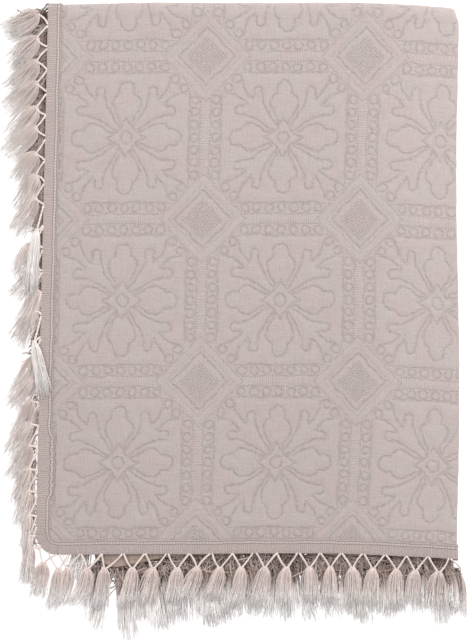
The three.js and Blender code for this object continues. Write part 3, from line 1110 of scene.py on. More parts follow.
@dataclass
class QuiltCloth:
    """The quilted cloth: a fine grid on its face, a coarser one on its back, and a rim between them."""

    folding: Folding
    pattern: TilePattern = TilePattern()
    fine: float = 4.3
    coarse_share: int = 4
    arc_cells: int = 8
    side_cells: int = 12
    top_cells: int = 8
    edge_band: float = 40.0
    puff: float = 0.5
    puff_to: float = 0.09
    swell: float = 0.35
    flat_edge: float = 24.0
    creases: tuple[Crease, ...] = (
        Crease(60.0, 14.0, 0.02, 3.5, -0.8, 70.0),
        Crease(150.0, 24.0, -0.03, 4.0, -0.6, 60.0),
        Crease(300.0, 12.0, 0.01, 3.0, -0.7, 120.0),
        Crease(470.0, 16.0, -0.02, 3.5, -0.6, 110.0),
        Crease(590.0, 30.0, 0.05, 6.0, -0.6, 60.0),
    )

    def lines(self, length: float, fold: float, radius: float, bend_cells: int) -> tuple[Array, Array]:
        """Grid lines along one side of the cloth.

        Args:
            length: The cloth's size along that side.
            fold: Where its fold lies.
            radius: The fold's radius.
            bend_cells: How many cells its arc has.

        Returns:
            The lines, fine before the fold and coarse after it, and which of them the back keeps too.
        """
        corner, quarter = self.folding.cloth.corner, math.pi / 2 * radius
        arc = corner * (1 - np.cos(np.linspace(0, math.pi / 2, self.arc_cells + 1)))
        groups = int(round((fold - quarter - corner) / (self.fine * self.coarse_share)))
        before = np.linspace(corner, fold - quarter, groups * self.coarse_share + 1)
        bend = np.linspace(fold - quarter, fold + quarter, bend_cells + 1)
        after = np.linspace(fold + quarter, length - corner, groups + 1)
        lines = np.concatenate([arc, before[1:], bend[1:], after[1:], length - arc[::-1][1:]])
        kept = np.ones(len(lines), bool)
        inside = np.arange(1, len(before))
        kept[len(arc) - 1 + inside] = inside % self.coarse_share == 0
        return lines, kept

    def flat_grid(self) -> tuple[Array, Array, Array, Array]:
        """The flat places of a grid that follows the rounded corners and the side fold.

        Returns:
            s and t, and which columns and rows the back keeps too. Near the two ends of the cloth each row
            is squeezed so that it starts on the corner's circle, and each column is moved by a hat function
            so that it stays on its line of the side fold.
        """
        cloth, folding = self.folding.cloth, self.folding
        columns, keep_columns = self.lines(
            cloth.width, folding.side_s, folding.side_radius, self.side_cells
        )
        rows, keep_rows = self.lines(cloth.length, folding.top_t, folding.top_radius, self.top_cells)
        s, t = np.meshgrid(columns, rows, indexing="ij")
        into = np.maximum(0.0, cloth.corner - np.minimum(s, cloth.width - s))
        first = cloth.corner - np.sqrt(np.maximum(0.0, cloth.corner**2 - into**2))
        band = self.edge_band
        low = first + (band - first) * t / band
        high = cloth.length - (first + (band - first) * (cloth.length - t) / band)
        t = np.where(t < band, low, np.where(t > cloth.length - band, high, t))
        quarter = math.pi / 2 * folding.side_radius
        hat = np.minimum(
            (s - cloth.corner) / (folding.side_s - quarter - cloth.corner),
            (cloth.width - cloth.corner - s) / (cloth.width - cloth.corner - folding.side_s - quarter),
        )
        return s + np.clip(hat, 0.0, 1.0) * folding.settled_shift(t), t, keep_columns, keep_rows

    def relief(self, s: Array, t: Array) -> Array:
        """The height of the padded cloth, in millimetres.

        Args:
            s: Places across the cloth.
            t: Places along the cloth.

        Returns:
            Soft troughs along the pattern's lines, low swells, and a few listed creases beside the top fold,
            all falling to nothing at the cloth's edge.
        """
        near = self.pattern.nearest(s, t)
        troughs = self.puff * (ramp(near, 0.0, self.puff_to) - 1.0)
        across = np.sin(s / 41.0 + 0.7 * np.sin(t / 67.0))
        along = np.sin(t / 37.0 + 0.5 * np.sin(s / 53.0))
        swells = self.swell * across * along
        creases = sum(crease.height_at(s, t - self.folding.top_t) for crease in self.creases)
        inside = ramp(-self.folding.cloth.outside_by(s, t), 0.0, self.flat_edge)
        return (troughs + swells + creases) * inside

    def covered(self, s: Array, t: Array) -> Array:
        """How deep in shade a place is: 1 on the free edges of the covered layers, 0 elsewhere."""
        past = self.folding.past_fold
        under = (s > self.folding.side_s + past) | (t > self.folding.top_t + past)
        return under * fall(-self.folding.cloth.outside_by(s, t), 25.0, 70.0)

    def shell(self) -> Shell:
        """Builds the closed cloth: its face, its back turned over, and a rim zipped between their borders."""
        folding, half = self.folding, self.folding.cloth.thickness / 2
        s, t, keep_columns, keep_rows = self.flat_grid()
        face, _ = folding.place(s, t, half + self.relief(s, t))
        pick = np.ix_(keep_columns, keep_rows)
        back_s, back_t = s[pick], t[pick]
        back, _ = folding.place(back_s, back_t, -half)
        face_index = np.arange(s.size).reshape(s.shape)
        back_index = s.size + np.arange(back_s.size).reshape(back_s.shape)
        kept = keep_columns[:, None] & keep_rows[None, :]
        all_s, all_t = np.append(s, back_s), np.append(t, back_t)
        return Shell(
            folding.metres(np.concatenate([face.reshape(-1, 3), back.reshape(-1, 3)])),
            np.concatenate([cells(face_index), cells(back_index)[:, ::-1]]),
            zipped(border(face_index), border(back_index), border(kept)),
            {"deep": self.covered(all_s, all_t)},
            np.stack([all_s, all_t], axis=-1) * MM,
        )


def cells(index: Array) -> Array:
    """The quads of a grid of point numbers, facing the way that the first direction crosses the second."""
    corners = (index[:-1, :-1], index[1:, :-1], index[1:, 1:], index[:-1, 1:])
    return np.stack(corners, axis=-1).reshape(-1, 4)


def border(grid: Array) -> Array:
    """The border of a grid as one closed run, anticlockwise."""
    return np.concatenate([grid[:-1, 0], grid[-1, :-1], grid[:0:-1, -1], grid[0, :0:-1]])


def zipped(fine: Array, coarse: Array, kept: Array) -> Array:
    """Triangles between two closed runs, of which the coarse one has only the kept points of the fine one.

    Args:
        fine: Point numbers of the fine run.
        coarse: Point numbers of the coarse run, in the same order.
        kept: Which points of the fine run the coarse one has.

    Returns:
        One triangle on each edge of the fine run, and one on each edge of the coarse run.
    """
    partner = coarse[(np.cumsum(kept) - 1) % len(coarse)]
    after = np.roll(fine, -1)
    on_fine = np.stack([after, fine, partner], axis=-1)
    met = np.flatnonzero(kept)
    on_coarse = np.stack([coarse, np.roll(coarse, -1), fine[np.roll(met, -1)]], axis=-1)
    return np.concatenate([on_fine, on_coarse])


@dataclass
class HeadingTape:
    """The heading tape: a ribbed section carried round the cloth's edge and folded with it.

    Its section is in millimetres: how far out from the cloth's edge, and how high above its middle.
    """

    folding: Folding
    weave: TapeWeave = TapeWeave()
    overhang: float = 1.5
    section: tuple[tuple[float, float], ...] = (
        (1.5, 2.1), (1.5, 2.8), (0.9, 3.1), (-4.0, 3.2), (-10.5, 3.15), (-14.0, 2.6),
        (-15.5, 3.0), (-17.1, 3.35), (-18.5, 3.0), (-19.7, 2.45), (-20.5, 2.1),
    )
    rib_heights: tuple[float, ...] = (0.0, 0.1, 0.16, 0.18, 0.16, 0.0, 0.0, 0.0, 0.0, 0.0, 0.0)
    loop_heights: tuple[float, ...] = (0.0, 0.0, 0.0, 0.0, 0.0, 0.0, 0.25, 0.4, 0.25, 0.0, 0.0)
    station: float = 1.55
    corner_stations: int = 36
    loose_at: float = 138.0
    loose_reach: Span = Span(40.0, 58.0)
    loose_back: float = 3.6
    picot: float = 12.4
    picot_depth: float = 2.2

    def ring(self) -> tuple[Array, Array, Array]:
        """Stations round the cloth's edge.

        Returns:
            Flat places on the cloth's outline, the way out there, and the distance round it, from whole
            runs along each side and a quarter circle at each corner.
        """
        cloth = self.folding.cloth
        wide, long, r = cloth.width, cloth.length, cloth.corner
        sides = (
            ((r, 0.0), (1.0, 0.0), wide - 2 * r, -90.0, (wide - r, r)),
            ((wide, r), (0.0, 1.0), long - 2 * r, 0.0, (wide - r, long - r)),
            ((wide - r, long), (-1.0, 0.0), wide - 2 * r, 90.0, (r, long - r)),
            ((0.0, long - r), (0.0, -1.0), long - 2 * r, 180.0, (r, r)),
        )
        turns = self.corner_stations
        places, ways, arcs = [], [], []
        for start, way, run, angle, centre in sides:
            count = int(round(run / self.station / 3)) * 3
            along = np.arange(count)[:, None] * (run / count)
            places.append(np.array(start) + along * np.array(way))
            ways.append(np.broadcast_to([way[1], -way[0]], (count, 2)))
            arcs.append(np.full(count, run / count))
            turn = np.radians(angle + 90.0 * np.arange(turns) / turns)
            out = np.stack([np.cos(turn), np.sin(turn)], axis=-1)
            places.append(np.array(centre) + r * out)
            ways.append(out)
            arcs.append(np.full(turns, math.pi / 2 * r / turns))
        distance_round = np.concatenate([[0.0], np.cumsum(np.concatenate(arcs))[:-1]])
        return np.concatenate(places), np.concatenate(ways), distance_round

    def shell(self) -> Shell:
        """Builds the closed ring.

        Returns:
            The tape. Its section runs over its upper face from the outer edge to the inner one and back
            underneath. Ribs and loops raise it by cosines of the distance round. Its inner edge wanders as
            two sines, and is drawn out in small scallops where it has come loose.
        """
        outwards, level = np.array(self.section).T
        places, ways, around = self.ring()
        rib = wave(around, self.weave.rib)[:, None] * np.array(self.rib_heights)
        loop = wave(around, self.weave.loop)[:, None] * np.array(self.loop_heights)
        uneven = 0.35 * np.sin(around / 17.0) + 0.25 * np.sin(around / 6.3)
        beside = 1.0 - self.loose_reach.grown(np.abs(places[:, 1] - self.loose_at))
        loose = beside * fall(places[:, 0], 0.0, 20.0)
        picots = np.abs(np.cos(math.pi * around / self.picot))
        uneven -= loose * (self.loose_back + self.picot_depth * picots)
        out = outwards + uneven[:, None] * ramp(-outwards, 5.0, 16.0)
        offset = level + rib + loop
        flat = places[:, None] + ways[:, None] * out[..., None]
        points, _ = self.folding.place(flat[..., 0], flat[..., 1], offset)
        count, wide = points.shape[:2]
        index = np.arange(count * wide).reshape(count, wide)
        ahead = np.roll(index, -1, 0)
        quads = np.stack([index, ahead, np.roll(ahead, -1, 1), np.roll(index, -1, 1)], axis=-1)
        inwards = self.overhang - np.broadcast_to(outwards, (count, wide))
        tape_place = np.stack([np.broadcast_to(around[:, None], (count, wide)), inwards], axis=-1)
        return Shell(
            self.folding.metres(points.reshape(-1, 3)),
            quads.reshape(-1, 4)[:, ::-1],
            np.zeros((0, 3), int),
            {"deep": QuiltCloth(self.folding).covered(flat[..., 0].ravel(), flat[..., 1].ravel())},
            tape_place.reshape(-1, 2) * MM,
        )


@dataclass(frozen=True)
class Combed:
    """How the free side's fringe lies at one share of the way from the top fold to the foot.

    The slants of its cords and tassels towards the foot are in degrees, the tassels are longer by some
    millimetres, and the knots have a share of their full reach.
    """

    down: float
    cords: float
    tassel: float
    longer: float
    reach: float


@dataclass(frozen=True)
class Edge:
    """One edge of the cloth: where it starts, the ways along it and in from it, and how its fringe is made.

    Its fringe starts short of the middle of each rounded corner, or beyond it where that is negative, and
    its knots lie out at the lattice's width. The numbers of strands are a front tassel's and a covered
    one's. Extra tassels have their places given in pitches. The knots are drawn aside at one place: where,
    how far, and over what reach.
    """

    name: str
    length: float
    start: tuple[float, float]
    way: tuple[float, float]
    inwards: tuple[float, float]
    short: float
    lattice: float
    strands: tuple[int, int]
    longer: float = 0.0
    extra: tuple[float, ...] = ()
    drawn: tuple[float, float, float] = (0.0, 0.0, 1.0)


@dataclass(frozen=True)
class Stray:
    """A tassel out of line: where, its cords' slant and reach, its own slant, how high, how much longer."""

    edge: str
    at: float
    cords: float
    reach: float
    tassel: float
    raised: float
    longer: float


@dataclass
class Teeth:
    """The tassels of one edge, laid out flat: a row of values for each.

    The root lies on the tape's edge between the left and right points where the cords start, and the knot
    is where they meet. The axis is the way down the tassel, wide is the way across it, and room is the
    share of its full width that it has. It is raised over the others and bent sideways by millimetres.
    """

    root: Array
    left_point: Array
    right_point: Array
    knot: Array
    axis: Array
    wide: Array
    room: Array
    length: Array
    raised: Array
    bend: Array

    def chosen(self, which: Array) -> "Teeth":
        """The rows of some tassels, each with an axis for its strands and one for the steps down them."""
        return Teeth(**{key: value[which][:, None, None] for key, value in vars(self).items()})


@dataclass(frozen=True)
class PaintedShadeYarn:
    """Yarn behind the cords, most of it coloured deep as painted shade, in millimetres and degrees.

    The scatter is for the side and then for the foot. Of the other pairs, the first number is for the
    covered layers and the second for the front one.
    """

    per_length: float = 1.2
    steps: int = 5
    scatter: tuple[float, float] = (20.0, 26.0)
    crossing_share: float = 0.22
    crossing_slant: float = 75.0
    crossing_longer: float = 1.8
    reach: tuple[float, float] = (26.0, 10.0)
    shortest: float = 8.0
    longest: tuple[float, float] = (34.0, 26.0)
    curl: float = 2.2
    radius: Span = Span(0.8, 1.5)
    # Painted shade: how deep the yarn's colour goes, on average, more at the side, in clumps and by chance.
    deep: float = 0.74
    deep_at_side: float = 0.24
    deep_in_clumps: float = 0.16
    deep_scatter: float = 0.13
    paler_outwards: tuple[float, float] = (0.25, 0.4)


@dataclass
class Fringe:
    """The fringe of one edge: zigzag cords of two plies, and tassels of loose strands where they meet."""

    folding: Folding
    edge: Edge
    seed: int
    # The row of tassels: its pitch, how unevenly they are set on the front layer and on the covered ones,
    # and how far out of the cloth's edge tassels and cords start.
    pitch: float = 34.4
    pitch_scatter: tuple[float, float] = (1.2, 8.0)
    sewn_at: float = 2.7
    cords_at: float = 0.9
    # A tassel: its length, its half width at the head, the belly and the tip, how much fuller it is at the
    # side, and half its thickness.
    tassel: float = 62.0
    tassel_differs: float = 3.0
    waist: float = 3.6
    belly: float = 11.4
    tip: float = 14.6
    belly_at: float = 0.34
    side_belly: float = 8.5
    side_tip: float = 5.0
    thick: float = 2.6
    thick_at_fold: float = 6.5
    # Its strands: they are thicker where there are fewer than a full number. The shortest end at the first
    # share of its length, less the second one at the side, and they stray by the first length at the foot
    # and by both at the side.
    strand_radius: float = 0.52
    strand_sides: int = 3
    hidden_strands: int = 24
    full_strands: float = 110.0
    thickest: float = 1.35
    raggedness: tuple[float, float] = (0.84, 0.14)
    stray_strands: tuple[float, float] = (1.3, 4.4)
    steps: int = 7
    # How it lies: its offset from the cloth's middle at the tape and beyond it, the level of each layer, the
    # corner that sinks to the surface, and how far it splays beside the side fold.
    lowest: float = 1.6
    settles_over: float = 62.0
    tape_offset: float = 2.0
    layer_offset: float = 1.0
    bottom_level: float = 1.9
    layer_step: float = 4.2
    corner_reach: tuple[float, float] = (56.0, 430.0)
    corner_sinks: float = 0.75
    splay: tuple[float, float] = (14.0, 10.0)
    splay_from: Span = Span(300.0, 345.0)
    fold_light: float = 0.65
    # Its cords, of two plies wound round each other.
    ply_radius: float = 1.25
    ply_offset: float = 0.9
    ply_turn: float = 6.5
    ply_sides: int = 5
    ply_paler: float = 0.12
    cord_steps: int = 11
    cord_bow: float = 1.1
    # Yarn behind the cords, coloured deep as painted shade.
    loose: PaintedShadeYarn = PaintedShadeYarn()
    # How the free side is combed, how much lower the covered tassels hang at places across the foot, and
    # the tassels that lie out of line.
    combed: tuple[Combed, ...] = (
        Combed(0.0, -14.0, 26.0, -4.0, 0.66),
        Combed(0.03, -4.0, 38.0, 2.0, 0.68),
        Combed(0.08, 10.0, 46.0, 5.0, 0.66),
        Combed(0.16, 16.0, 50.0, 6.0, 0.64),
        Combed(0.26, 18.0, 54.0, 4.0, 0.62),
        Combed(0.33, 22.0, 60.0, 1.0, 0.60),
        Combed(0.38, 40.0, 61.0, 0.0, 0.58),
        Combed(0.46, 56.0, 59.0, 2.0, 0.56),
        Combed(0.51, 56.0, 66.0, 2.0, 0.56),
        Combed(0.60, 56.0, 61.0, 2.0, 0.60),
        Combed(0.67, 46.0, 57.0, 3.0, 0.72),
        Combed(0.78, 42.0, 59.0, 4.0, 0.80),
        Combed(0.84, 46.0, 70.0, 2.0, 0.82),
        Combed(0.91, 50.0, 78.0, 2.0, 0.78),
        Combed(1.0, 56.0, 86.0, 0.0, 0.74),
    )
    covered_combed: float = -12.0
    hanging: tuple[tuple[float, float], ...] = (
        (-240.0, 44.0), (-200.0, 30.0), (-130.0, 24.0), (-50.0, 22.0), (20.0, 10.0), (60.0, 6.0),
        (100.0, 13.0), (140.0, 5.0), (175.0, 9.0), (211.0, 18.0), (250.0, 5.0), (290.0, 0.0),
    )
    strays: tuple[Stray, ...] = (
        Stray("fringe_side_front", 524.0, 70.0, 24.0, 85.0, 2.6, 36.0),
        Stray("fringe_side_front", 356.0, 70.0, 24.0, 102.0, 4.8, 24.0),
    )

    @property
    def run(self) -> float:
        """The edge's length from the middle of one rounded corner to the middle of the next."""
        corner = self.folding.cloth.corner
        return self.edge.length - 2 * corner + math.pi / 2 * corner

    @staticmethod
    def sideways(out: Array) -> Array:
        """How much a fringe hangs at the side: 0 at the foot, 1 at the side, near 1 on most of a corner."""
        return np.abs(out[:, 0]) ** 0.35

    def on_edge(self, along: Array) -> tuple[Array, Array]:
        """A place on the edge and the way out there.

        Args:
            along: Distances from the middle of the first rounded corner.

        Returns:
            Flat places and unit ways out: along the straight edge, or on the eighth circle at either end.
        """
        edge, corner = self.edge, self.folding.cloth.corner
        eighth = math.pi / 4 * corner
        near = np.maximum(0.0, eighth - along) / corner
        far = np.maximum(0.0, along - (self.run - eighth)) / corner
        angle = far - near
        straight = np.clip(corner + along - eighth, corner, edge.length - corner)
        start, way, inwards = (np.array(v) for v in (edge.start, edge.way, edge.inwards))
        run = (straight + corner * np.sin(angle))[:, None]
        inset = (corner * (1 - np.cos(angle)))[:, None]
        place = start + run * way + inset * inwards
        return place, np.sin(angle)[:, None] * way - np.cos(angle)[:, None] * inwards

    def combed_at(self, flat: Array) -> tuple[Array, Array, Array, Array]:
        """Reads the table of the combed side at flat places.

        Args:
            flat: The places, one a row.

        Returns:
            The slants of cords and tassels, the extra length and the cords' reach, each on straight lines
            between the table's rows. The covered layers slant a little less.
        """
        s, t = flat[:, 0], flat[:, 1]
        down = np.minimum(1.0, self.folding.share_down(t))
        shares, *columns = np.array([tuple(vars(row).values()) for row in self.combed]).T
        cords, slant, longer, reach = (np.interp(down, shares, column) for column in columns)
        front = (t < self.folding.top_t) & (s < self.folding.cloth.width / 2)
        more = np.where(front, 0.0, self.covered_combed * down)
        return cords + more, slant + more, longer, reach

    def slants(self, root: Array, out: Array) -> tuple[Array, Array, Array, Array, Array]:
        """How each tassel is combed.

        Args:
            root: Where the tassels hang from.
            out: The ways out there.

        Returns:
            The slants of cords and tassels, the extra lengths, the knots' reaches, and the heights over the
            other tassels: as combed at the side, plain at the foot, and as listed for the strays.
        """
        cords, slant, longer, reach = self.combed_at(root)
        sideways = self.sideways(out)
        cords, slant, longer = sideways * cords, sideways * slant, sideways * longer
        reach = self.edge.lattice * blend(1.0, reach, sideways)
        raised = np.zeros(len(root))
        for stray in self.strays:
            if stray.edge == self.edge.name:
                found = int(np.argmin(np.abs(root @ np.abs(self.edge.way) - stray.at)))
                cords[found], slant[found] = stray.cords, stray.tassel
                longer[found], reach[found], raised[found] = stray.longer, stray.reach, stray.raised
        return cords, slant, longer, reach, raised

    def hanging_lower(self, root: Array, out: Array, random: np.random.Generator) -> Array:
        """How much lower than a front tassel each covered one hangs.

        Args:
            root: Where the tassels hang from.
            out: The ways out there.
            random: The source of large differences.

        Returns:
            The table's value at that place of the foot and a random length. It is 0 for the front ones.
        """
        places, _ = self.folding.place(root[:, 0], root[:, 1], 0.0)
        hangs = np.interp(places[:, 0], *np.array(self.hanging).T)
        hangs = (1 - out[:, 0] ** 2) * hangs * random.uniform(0.55, 1.05, len(root))
        return np.where(self.seen(root), 0.0, hangs + random.normal(2.0, 3.0, len(root)))

    def teeth(self, random: np.random.Generator) -> Teeth:
        """Lays out the edge's tassels.

        Args:
            random: The source of small differences, which are larger on the covered layers.

        Returns:
            The tassels at even pitches, with the extra ones. Each axis is the way out turned towards the
            foot by its slant, and swung a little as a sine of its number.
        """
        edge = self.edge
        sewn = self.run - 2 * edge.short
        spaces = round(sewn / self.pitch)
        pitch = sewn / spaces
        even = np.concatenate([np.arange(spaces) + 0.5, edge.extra]) * pitch + edge.short
        count = len(even)
        number = np.arange(count)
        scatter = np.where(self.seen(self.on_edge(even)[0]), *self.pitch_scatter)
        middle = even + scatter * np.clip(random.normal(0, 1, count), -1.5, 1.5)
        place, out = self.on_edge(middle)
        root = place + out * self.sewn_at
        after, after_out = self.on_edge(middle + 1.0)
        along = after + after_out * self.sewn_at - root
        cords, slant, longer, reach, raised = self.slants(root, out)
        lean = 6.0 * self.seen(root) * fall(root[:, 0], 330.0, 420.0) * (1 - self.sideways(out))
        swing = 3.5 * np.sin(2.4 * number + edge.longer) + random.normal(0, 2.5, count) - lean
        head, axis = self.aimed(root, out, cords, swing), self.aimed(root, out, slant, swing)
        wide = quarter_turned(axis)
        wide *= np.where((wide * along).sum(-1) < 0, -1.0, 1.0)[:, None]
        room = np.where(raised > 0, 0.74, np.minimum(1.0, 0.55 + np.abs((wide * along).sum(-1))))
        length = self.tassel + edge.longer + longer + self.tassel_differs * np.sin(5.1 * number)
        length += self.hanging_lower(root, out, random)
        where, aside, over = edge.drawn
        knot = root + head * reach[:, None]
        knot += along * (aside * np.exp(-(((even - where) / over) ** 2)))[:, None]
        points = []
        for beyond in (1.1 - pitch / 2, pitch / 2 - 1.1):
            point, point_out = self.on_edge(middle + beyond)
            points.append(point + point_out * self.cords_at)
        bend = random.normal(0.0, 2.4, count) - lean * 1.3
        return Teeth(root, *points, knot, axis, wide, room, length, raised, bend)

    def aimed(self, root: Array, out: Array, angle: Array, swing: Array) -> Array:
        """Turns ways out towards the foot.

        Args:
            root: The flat places, which tell where the foot is.
            out: The ways out there.
            angle: How far to turn each towards the foot, in degrees.
            swing: How far to turn it anticlockwise after that, in degrees.

        Returns:
            The turned ways, one unit long.
        """
        foot = np.where(root[:, 1] < self.folding.top_t, -1.0, 1.0)
        turn = np.radians(angle)[:, None]
        way = out * np.cos(turn) + np.stack([np.zeros(len(root)), foot], axis=-1) * np.sin(turn)
        way /= np.linalg.norm(way, axis=-1, keepdims=True)
        swing = np.radians(swing)[:, None]
        return way * np.cos(swing) + quarter_turned(way) * np.sin(swing)

    def settled(self, flat: Array, height: Array) -> Array:
        """Folds points of the fringe, which settles onto the layer below it away from the tape.

        Args:
            flat: Flat places.
            height: How far each point lies above the fringe's middle, towards the face.

        Returns:
            The points in metres. Past the tape the fringe's middle eases from the tape's own level to the
            level of its layer, and the front layer's corner goes down to the surface. Beside the side fold
            the tassels splay out a little.
        """
        folding = self.folding
        s, t = flat[..., 0], flat[..., 1]
        out = folding.cloth.outside_by(s, t) - self.sewn_at
        share = np.sin(math.pi / 2 * np.clip(out / self.settles_over, 0.0, 1.0))
        offset = blend(self.tape_offset, self.layer_offset, share)
        point, stack_height = folding.place(s, t, offset)
        above, _ = folding.place(s, t, offset + 1.0)
        below, _ = folding.place(s, t, offset - 1.0)
        normal = above - below
        normal /= np.linalg.norm(normal, axis=-1, keepdims=True)
        layer = stack_height / folding.side_radius + 1.5
        across, along = self.corner_reach
        bare = fall(np.hypot(s / across, t / along), 0.5, 1.0)
        level = self.bottom_level + self.layer_step * layer * (1 - self.corner_sinks * bare)
        point[..., 2] = blend(point[..., 2], level, share)
        point[..., 0] += folding.by_pair(t, *self.splay) * share * self.splay_from.grown(point[..., 0])
        point += normal * height[..., None]
        point[..., 2] = np.maximum(point[..., 2], self.lowest)
        return folding.metres(point)

    def shaded(self, flat: Array) -> Array:
        """How deep in shade a tassel's head is: most on the covered layers, little near the side fold."""
        beside_fold = fall(np.abs(flat[..., 0] - self.folding.side_s), 50.0, 90.0)
        return np.where(self.seen(flat), 0.0, 1.0 - self.fold_light * beside_fold)

    def cords(self, teeth: Teeth, random: np.random.Generator) -> Shell:
        """Builds the twisted cords.

        Args:
            teeth: The tassels' layout.
            random: The source of small differences.

        Returns:
            Two plies a cord: each is a helix round the line from the tape point to the knot, which bows a
            little to one side.
        """
        ends = np.concatenate([teeth.left_point, teeth.right_point])
        tied = teeth.knot + teeth.axis * 2.0
        knots = np.concatenate([tied, tied])
        count = len(ends)
        share = np.linspace(0.0, 1.0, self.cord_steps)[None, :, None]
        line = ends[:, None] * (1 - share) + knots[:, None] * share
        way = knots - ends
        run = np.linalg.norm(way, axis=-1, keepdims=True)
        square = quarter_turned(way) / run
        bow = random.normal(0.0, self.cord_bow, (count, 1, 1)) * np.sin(math.pi * share)
        line = line + square[:, None] * bow
        turn = 2 * math.pi * share[..., 0] * run / self.ply_turn + random.uniform(0, 6.28, (count, 1))
        raised = np.concatenate([teeth.raised, teeth.raised])[:, None] * share[..., 0]
        plies = []
        for ply in (0.0, math.pi):
            flat = line + square[:, None] * (self.ply_offset * np.cos(turn + ply))[..., None]
            points = self.settled(flat, 0.4 + self.ply_offset * np.sin(turn + ply) + raised)
            radii = np.full(points.shape[:2], self.ply_radius * MM)
            tone = np.broadcast_to(random.uniform(0.3, 0.7, (count, 1)), radii.shape)
            deep = np.broadcast_to(0.8 * self.shaded(ends)[:, None], radii.shape)
            values = {"strand": tone, "paler": np.full(radii.shape, self.ply_paler), "deep": deep}
            plies.append(tubes(points, radii, self.ply_sides, values))
        return joined(plies)

    def half_width(self, share: Array) -> Array:
        """A tassel's half width at a share of its length: a narrow head, a full belly and a wider tip."""
        to_belly = np.sin(math.pi / 2 * np.clip(share / self.belly_at, 0, 1))
        belly = self.waist + (self.belly - self.waist) * to_belly
        return belly + (self.tip - self.belly) * ramp(share, self.belly_at, 1.0)

    def tassels(self, teeth: Teeth, random: np.random.Generator) -> Shell:
        """Builds the tassels' strands.

        Args:
            teeth: The tassels' layout.
            random: The source of differences.

        Returns:
            The strands of the front tassels, the covered ones, and those hidden at the side's lower half,
            which have the fewest.
        """
        seen = self.seen(teeth.root)
        lower = self.folding.share_down(teeth.root[:, 1]) > 0.45
        hidden = ~seen & (np.abs(teeth.axis[:, 0]) > 0.3) & lower
        front, covered = self.edge.strands
        return joined([
            self.bundle(teeth.chosen(which), strands, random)
            for which, strands in ((seen, front), (~seen & ~hidden, covered), (hidden, self.hidden_strands))
            if which.any()
        ])

    def seen(self, flat: Array) -> Array:
        """Which flat places lie on the front layer, or on the turn of the side fold beside it."""
        folding = self.folding
        return (flat[..., 0] < folding.side_s + folding.past_fold) & (flat[..., 1] < folding.top_t)

    def bundle(self, teeth: Teeth, strands: int, random: np.random.Generator) -> Shell:
        """Builds the strands of some tassels.

        Args:
            teeth: Their layout.
            strands: How many strands each gets.
            random: The source of differences from one strand to the next.

        Returns:
            Tubes that taper to their tips. Each strand keeps its place in the tassel's round section, times
            the half width there, with a curl, and strays further from the others to its tip. The whole
            tassel is bent aside with the square of the way down.
        """
        count = len(teeth.length)
        one, whole = (count, strands, 1), (count, strands, self.steps)
        share = np.linspace(0.0, 1.0, self.steps)[None, None, :]
        angle = random.uniform(0, 2 * math.pi, one)
        radius = np.sqrt(random.uniform(0.02, 1.0, one))
        side = np.abs(teeth.axis[..., 0])
        shortest = self.raggedness[0] - self.raggedness[1] * side
        reach = random.uniform(shortest, 1.05, one) * (1 + 0.05 * random.normal(0, 1, (count, 1, 1)))
        down = share * reach
        fuller_side = self.side_belly * np.sin(math.pi * np.clip(down, 0.0, 1.0) ** 0.6)
        half = self.half_width(down) + side * (fuller_side + self.side_tip * down**2)
        curl = random.normal(0, 1.0, one) * np.sin(share * math.pi * random.uniform(0.7, 1.8, one))
        least, more = self.stray_strands
        stray = random.normal(0, 1.0, one) * (least + more * side) * share**2
        fold = random.normal(0, 1.6, (count, 1, 1)) * np.sin(math.pi * down * 0.9)
        aside = (radius * np.cos(angle) * half + fold) * teeth.room + curl + stray + teeth.bend * down**2
        at_fold = fall(np.abs(teeth.root[..., 0] - self.folding.side_s), 12.0, 34.0)
        opened = np.sin(math.pi / 2 * np.clip(down / 0.4, 0, 1))
        thick = blend(1.0, self.thick + self.thick_at_fold * at_fold, opened)
        height = radius * np.sin(angle) * thick + teeth.raised + 0.4
        along = down * teeth.length - 1.5
        flat = teeth.knot + teeth.axis * along[..., None] + teeth.wide * aside[..., None]
        points = self.settled(flat, np.broadcast_to(height, whole)).reshape(-1, self.steps, 3)
        paler, deep = self.shades(teeth, side, down)
        values = {"strand": random.uniform(0, 1, one), "paler": paler, "deep": deep}
        wide = self.strand_radius * min(self.thickest, math.sqrt(self.full_strands / strands))
        radii = np.broadcast_to(1.0 - 0.55 * share**3, whole).reshape(-1, self.steps) * (wide * MM)
        rows = {key: np.broadcast_to(value, whole).reshape(-1, self.steps) for key, value in values.items()}
        return tubes(points, radii, self.strand_sides, rows)

    def shades(self, teeth: Teeth, side: Array, down: Array) -> tuple[Array, Array]:
        """How pale, as painted light, and how deep in painted shade tassels are on their way down.

        Args:
            teeth: Their layout.
            side: How much each hangs at the side.
            down: Shares of the way down each.

        Returns:
            The pale share, a painted light that grows to the tip, sooner on covered tassels, and the deep
            one, a painted shade that is most at a covered tassel's head. At the free side, which lies in
            shade, both are a little darker.
        """
        under, stray = ~self.seen(teeth.root), teeth.raised > 0
        lowest = ramp(self.folding.share_down(teeth.root[..., 1]), 0.7, 0.95)
        free = side * ~under * (1.0 - 0.7 * lowest)
        # Painted light grows to the tips; painted shade lies on covered heads and on the free side.
        paler = np.where(stray, 0.62 + 0.3 * down, ramp(down, 0.25 - 0.2 * under, 1.0 - 0.35 * under))
        deep = self.shaded(teeth.root) * fall(down, -0.05, 0.5) + 0.23 * free * ~stray
        return paler * (1 - 0.3 * free * ~stray), deep

    def keeps_shade_yarn(self, place: Array, out: Array, random: np.random.Generator) -> Array:
        """Which places of the edge keep yarn behind the cords.

        Args:
            place: Flat places on the edge.
            out: The ways out there.
            random: The source of chance.

        Returns:
            True at the covered foot, on the upper half of the covered side, though not at its very top, and
            on the front layer's side. Some of the lowest places at the side are left out by chance.
        """
        down, beside = self.folding.share_down(place[:, 1]), self.sideways(out)
        kept = np.where(self.seen(place), out[:, 0] < -0.9, down * out[:, 0] ** 2 < 0.5)
        kept &= (down > 0.03) | (beside < 0.5)
        return kept & (random.uniform(0, 1, len(place)) > 0.4 * ramp(down * beside, 0.68, 0.85))

